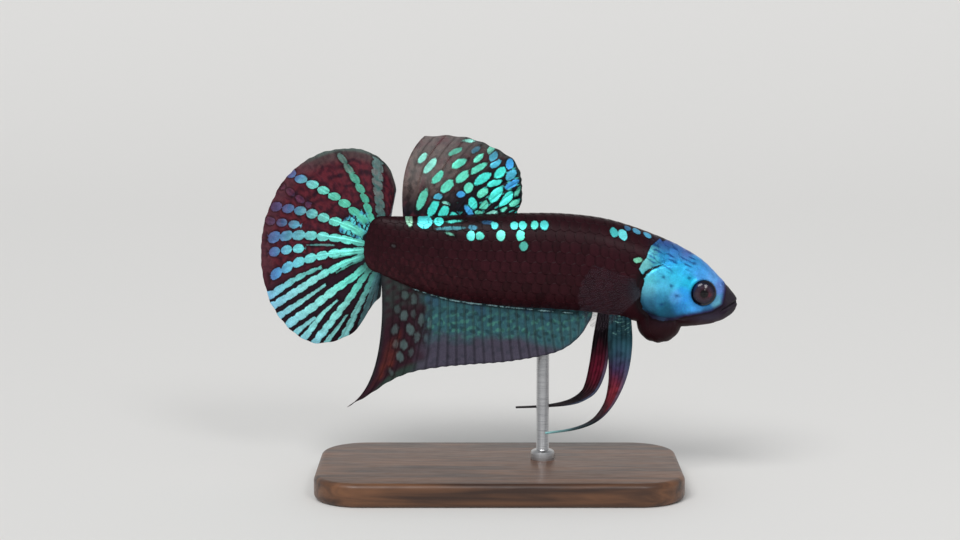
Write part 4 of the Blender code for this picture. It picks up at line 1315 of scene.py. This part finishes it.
def build_stand():
    low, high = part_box("stand_base")
    centre, half = (low + high) / 2, (high - low) / 2
    corner, edge = 0.006, 0.0007
    quarter = np.linspace(0, math.pi / 2, 7)
    bends = [(edge * (1 - math.sin(a)), edge * (1 - math.cos(a))) for a in quarter]
    levels = [(inset, low.z + rise) for inset, rise in bends]
    levels += [(inset, high.z - rise) for inset, rise in reversed(bends)]
    turn = circle(160) + math.pi / 160
    straight = (half.x - corner, half.y - corner)
    rings = [ring(turn, centre, corner - inset, level, straight) for inset, level in levels]
    finish_piece(closed_rings("stand_plinth", rings), wood_material(), "stand_wood", "stand_base")

    # The rod stands in a low turned collar, and its rounded head goes into the belly.
    # Its side view is written as shares of the rod's radius, with the height of each.
    foot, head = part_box("stand_rod")
    radius, deck = (head.x - foot.x) / 2, high.z
    profile = (
        (1.9, deck - 0.0002), (1.9, deck + 0.0008), (1.8, deck + 0.00105), (1.55, deck + 0.0012),
        (1.1, deck + 0.00125), (1.0, deck + 0.0014), (1.0, head.z - 0.0004),
        (0.9, head.z + 0.0003), (0.5, head.z + 0.0007),
    )
    turn, middle = circle(64), (foot + head) / 2
    rings = [ring(turn, middle, size * radius, level) for size, level in profile]
    finish_piece(closed_rings("stand_post", rings), steel_material(), "stand_metal", "stand_rod")


# ---------------------------------------------------------------- the studio
def hold(data, location):
    """An object for a lamp or a camera."""
    holder = bpy.data.objects.new(data.name, data)
    bpy.context.scene.collection.objects.link(holder)
    holder.location = location
    return holder


def build_backdrop():
    """Paper that lies flat, then curves up behind the model."""
    paper = Look("paper", specular=0.2, coat=0.0)
    paper.surface({"Base Color": (0.76, 0.75, 0.73, 1), "Roughness": 0.8})
    bend_at, radius, half_width = 0.35, 1.2, 2.5
    curve = [(-1.5, 0.0), (bend_at, 0.0)]
    for a in np.linspace(0, math.pi / 2, 32)[1:]:
        curve.append((bend_at + radius * math.sin(a), radius * (1 - math.cos(a))))
    points = [(side * half_width, y, z) for y, z in curve for side in (-1, 1)]
    sweep = mesh_object("backdrop", points, grid_faces(len(curve), 2))
    sweep.data.materials.append(paper.material)


def build_lights():
    world = bpy.data.worlds.new("studio")
    bpy.context.scene.world = world
    world.use_nodes = True
    sky = world.node_tree.nodes["Background"].inputs
    sky["Color"].default_value = (0.95, 0.97, 1.0, 1)
    sky["Strength"].default_value = 0.44
    low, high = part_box("trunk")
    focus = (low + high) / 2
    sun = bpy.data.lights.new("key", "SUN")
    sun.energy, sun.angle = 1.75, math.radians(28)
    box = bpy.data.lights.new("softbox", "AREA")
    box.energy, box.size = 0.5, 0.12
    for lamp, offset in ((sun, (-0.35, -0.75, 0.85)), (box, (0.16, -0.40, 0.30))):
        holder = hold(lamp, [focus[i] + offset[i] for i in range(3)])
        holder.rotation_euler = (focus - holder.location).to_track_quat("-Z", "Y").to_euler()


def build_camera():
    """The camera looks along +Y and a little down at the fish."""
    target = (-0.0024, 0.0, 0.0276)
    pitch, distance, width = math.radians(7.5), 0.27, 0.1205
    camera = bpy.data.cameras.new("camera")
    camera.lens = 36 * distance / width
    camera.clip_start, camera.clip_end = 0.01, 10
    back, rise = distance * math.cos(pitch), distance * math.sin(pitch)
    holder = hold(camera, (target[0], target[1] - back, target[2] + rise))
    holder.rotation_euler = (math.pi / 2 - pitch, 0, 0)
    bpy.context.scene.camera = holder
    bpy.context.scene.view_settings.view_transform = "Standard"


def main():
    build_skin(tissue("fish_skin", 0.42, mottle=0.10))
    build_scales(tissue("fish_scales", 0.40))
    fin_material = tissue("fish_fins", 0.45, rays=True)
    thin_material = tissue("thin_fins", 0.42, clear=True, rays=True)
    build_caudal(fin_material)
    build_dorsal(thin_material)
    build_anal(fin_material)
    build_pectorals(thin_material)
    build_pelvics(fin_material)
    build_eyes()
    build_stand()
    build_backdrop()
    build_lights()
    build_camera()


main()
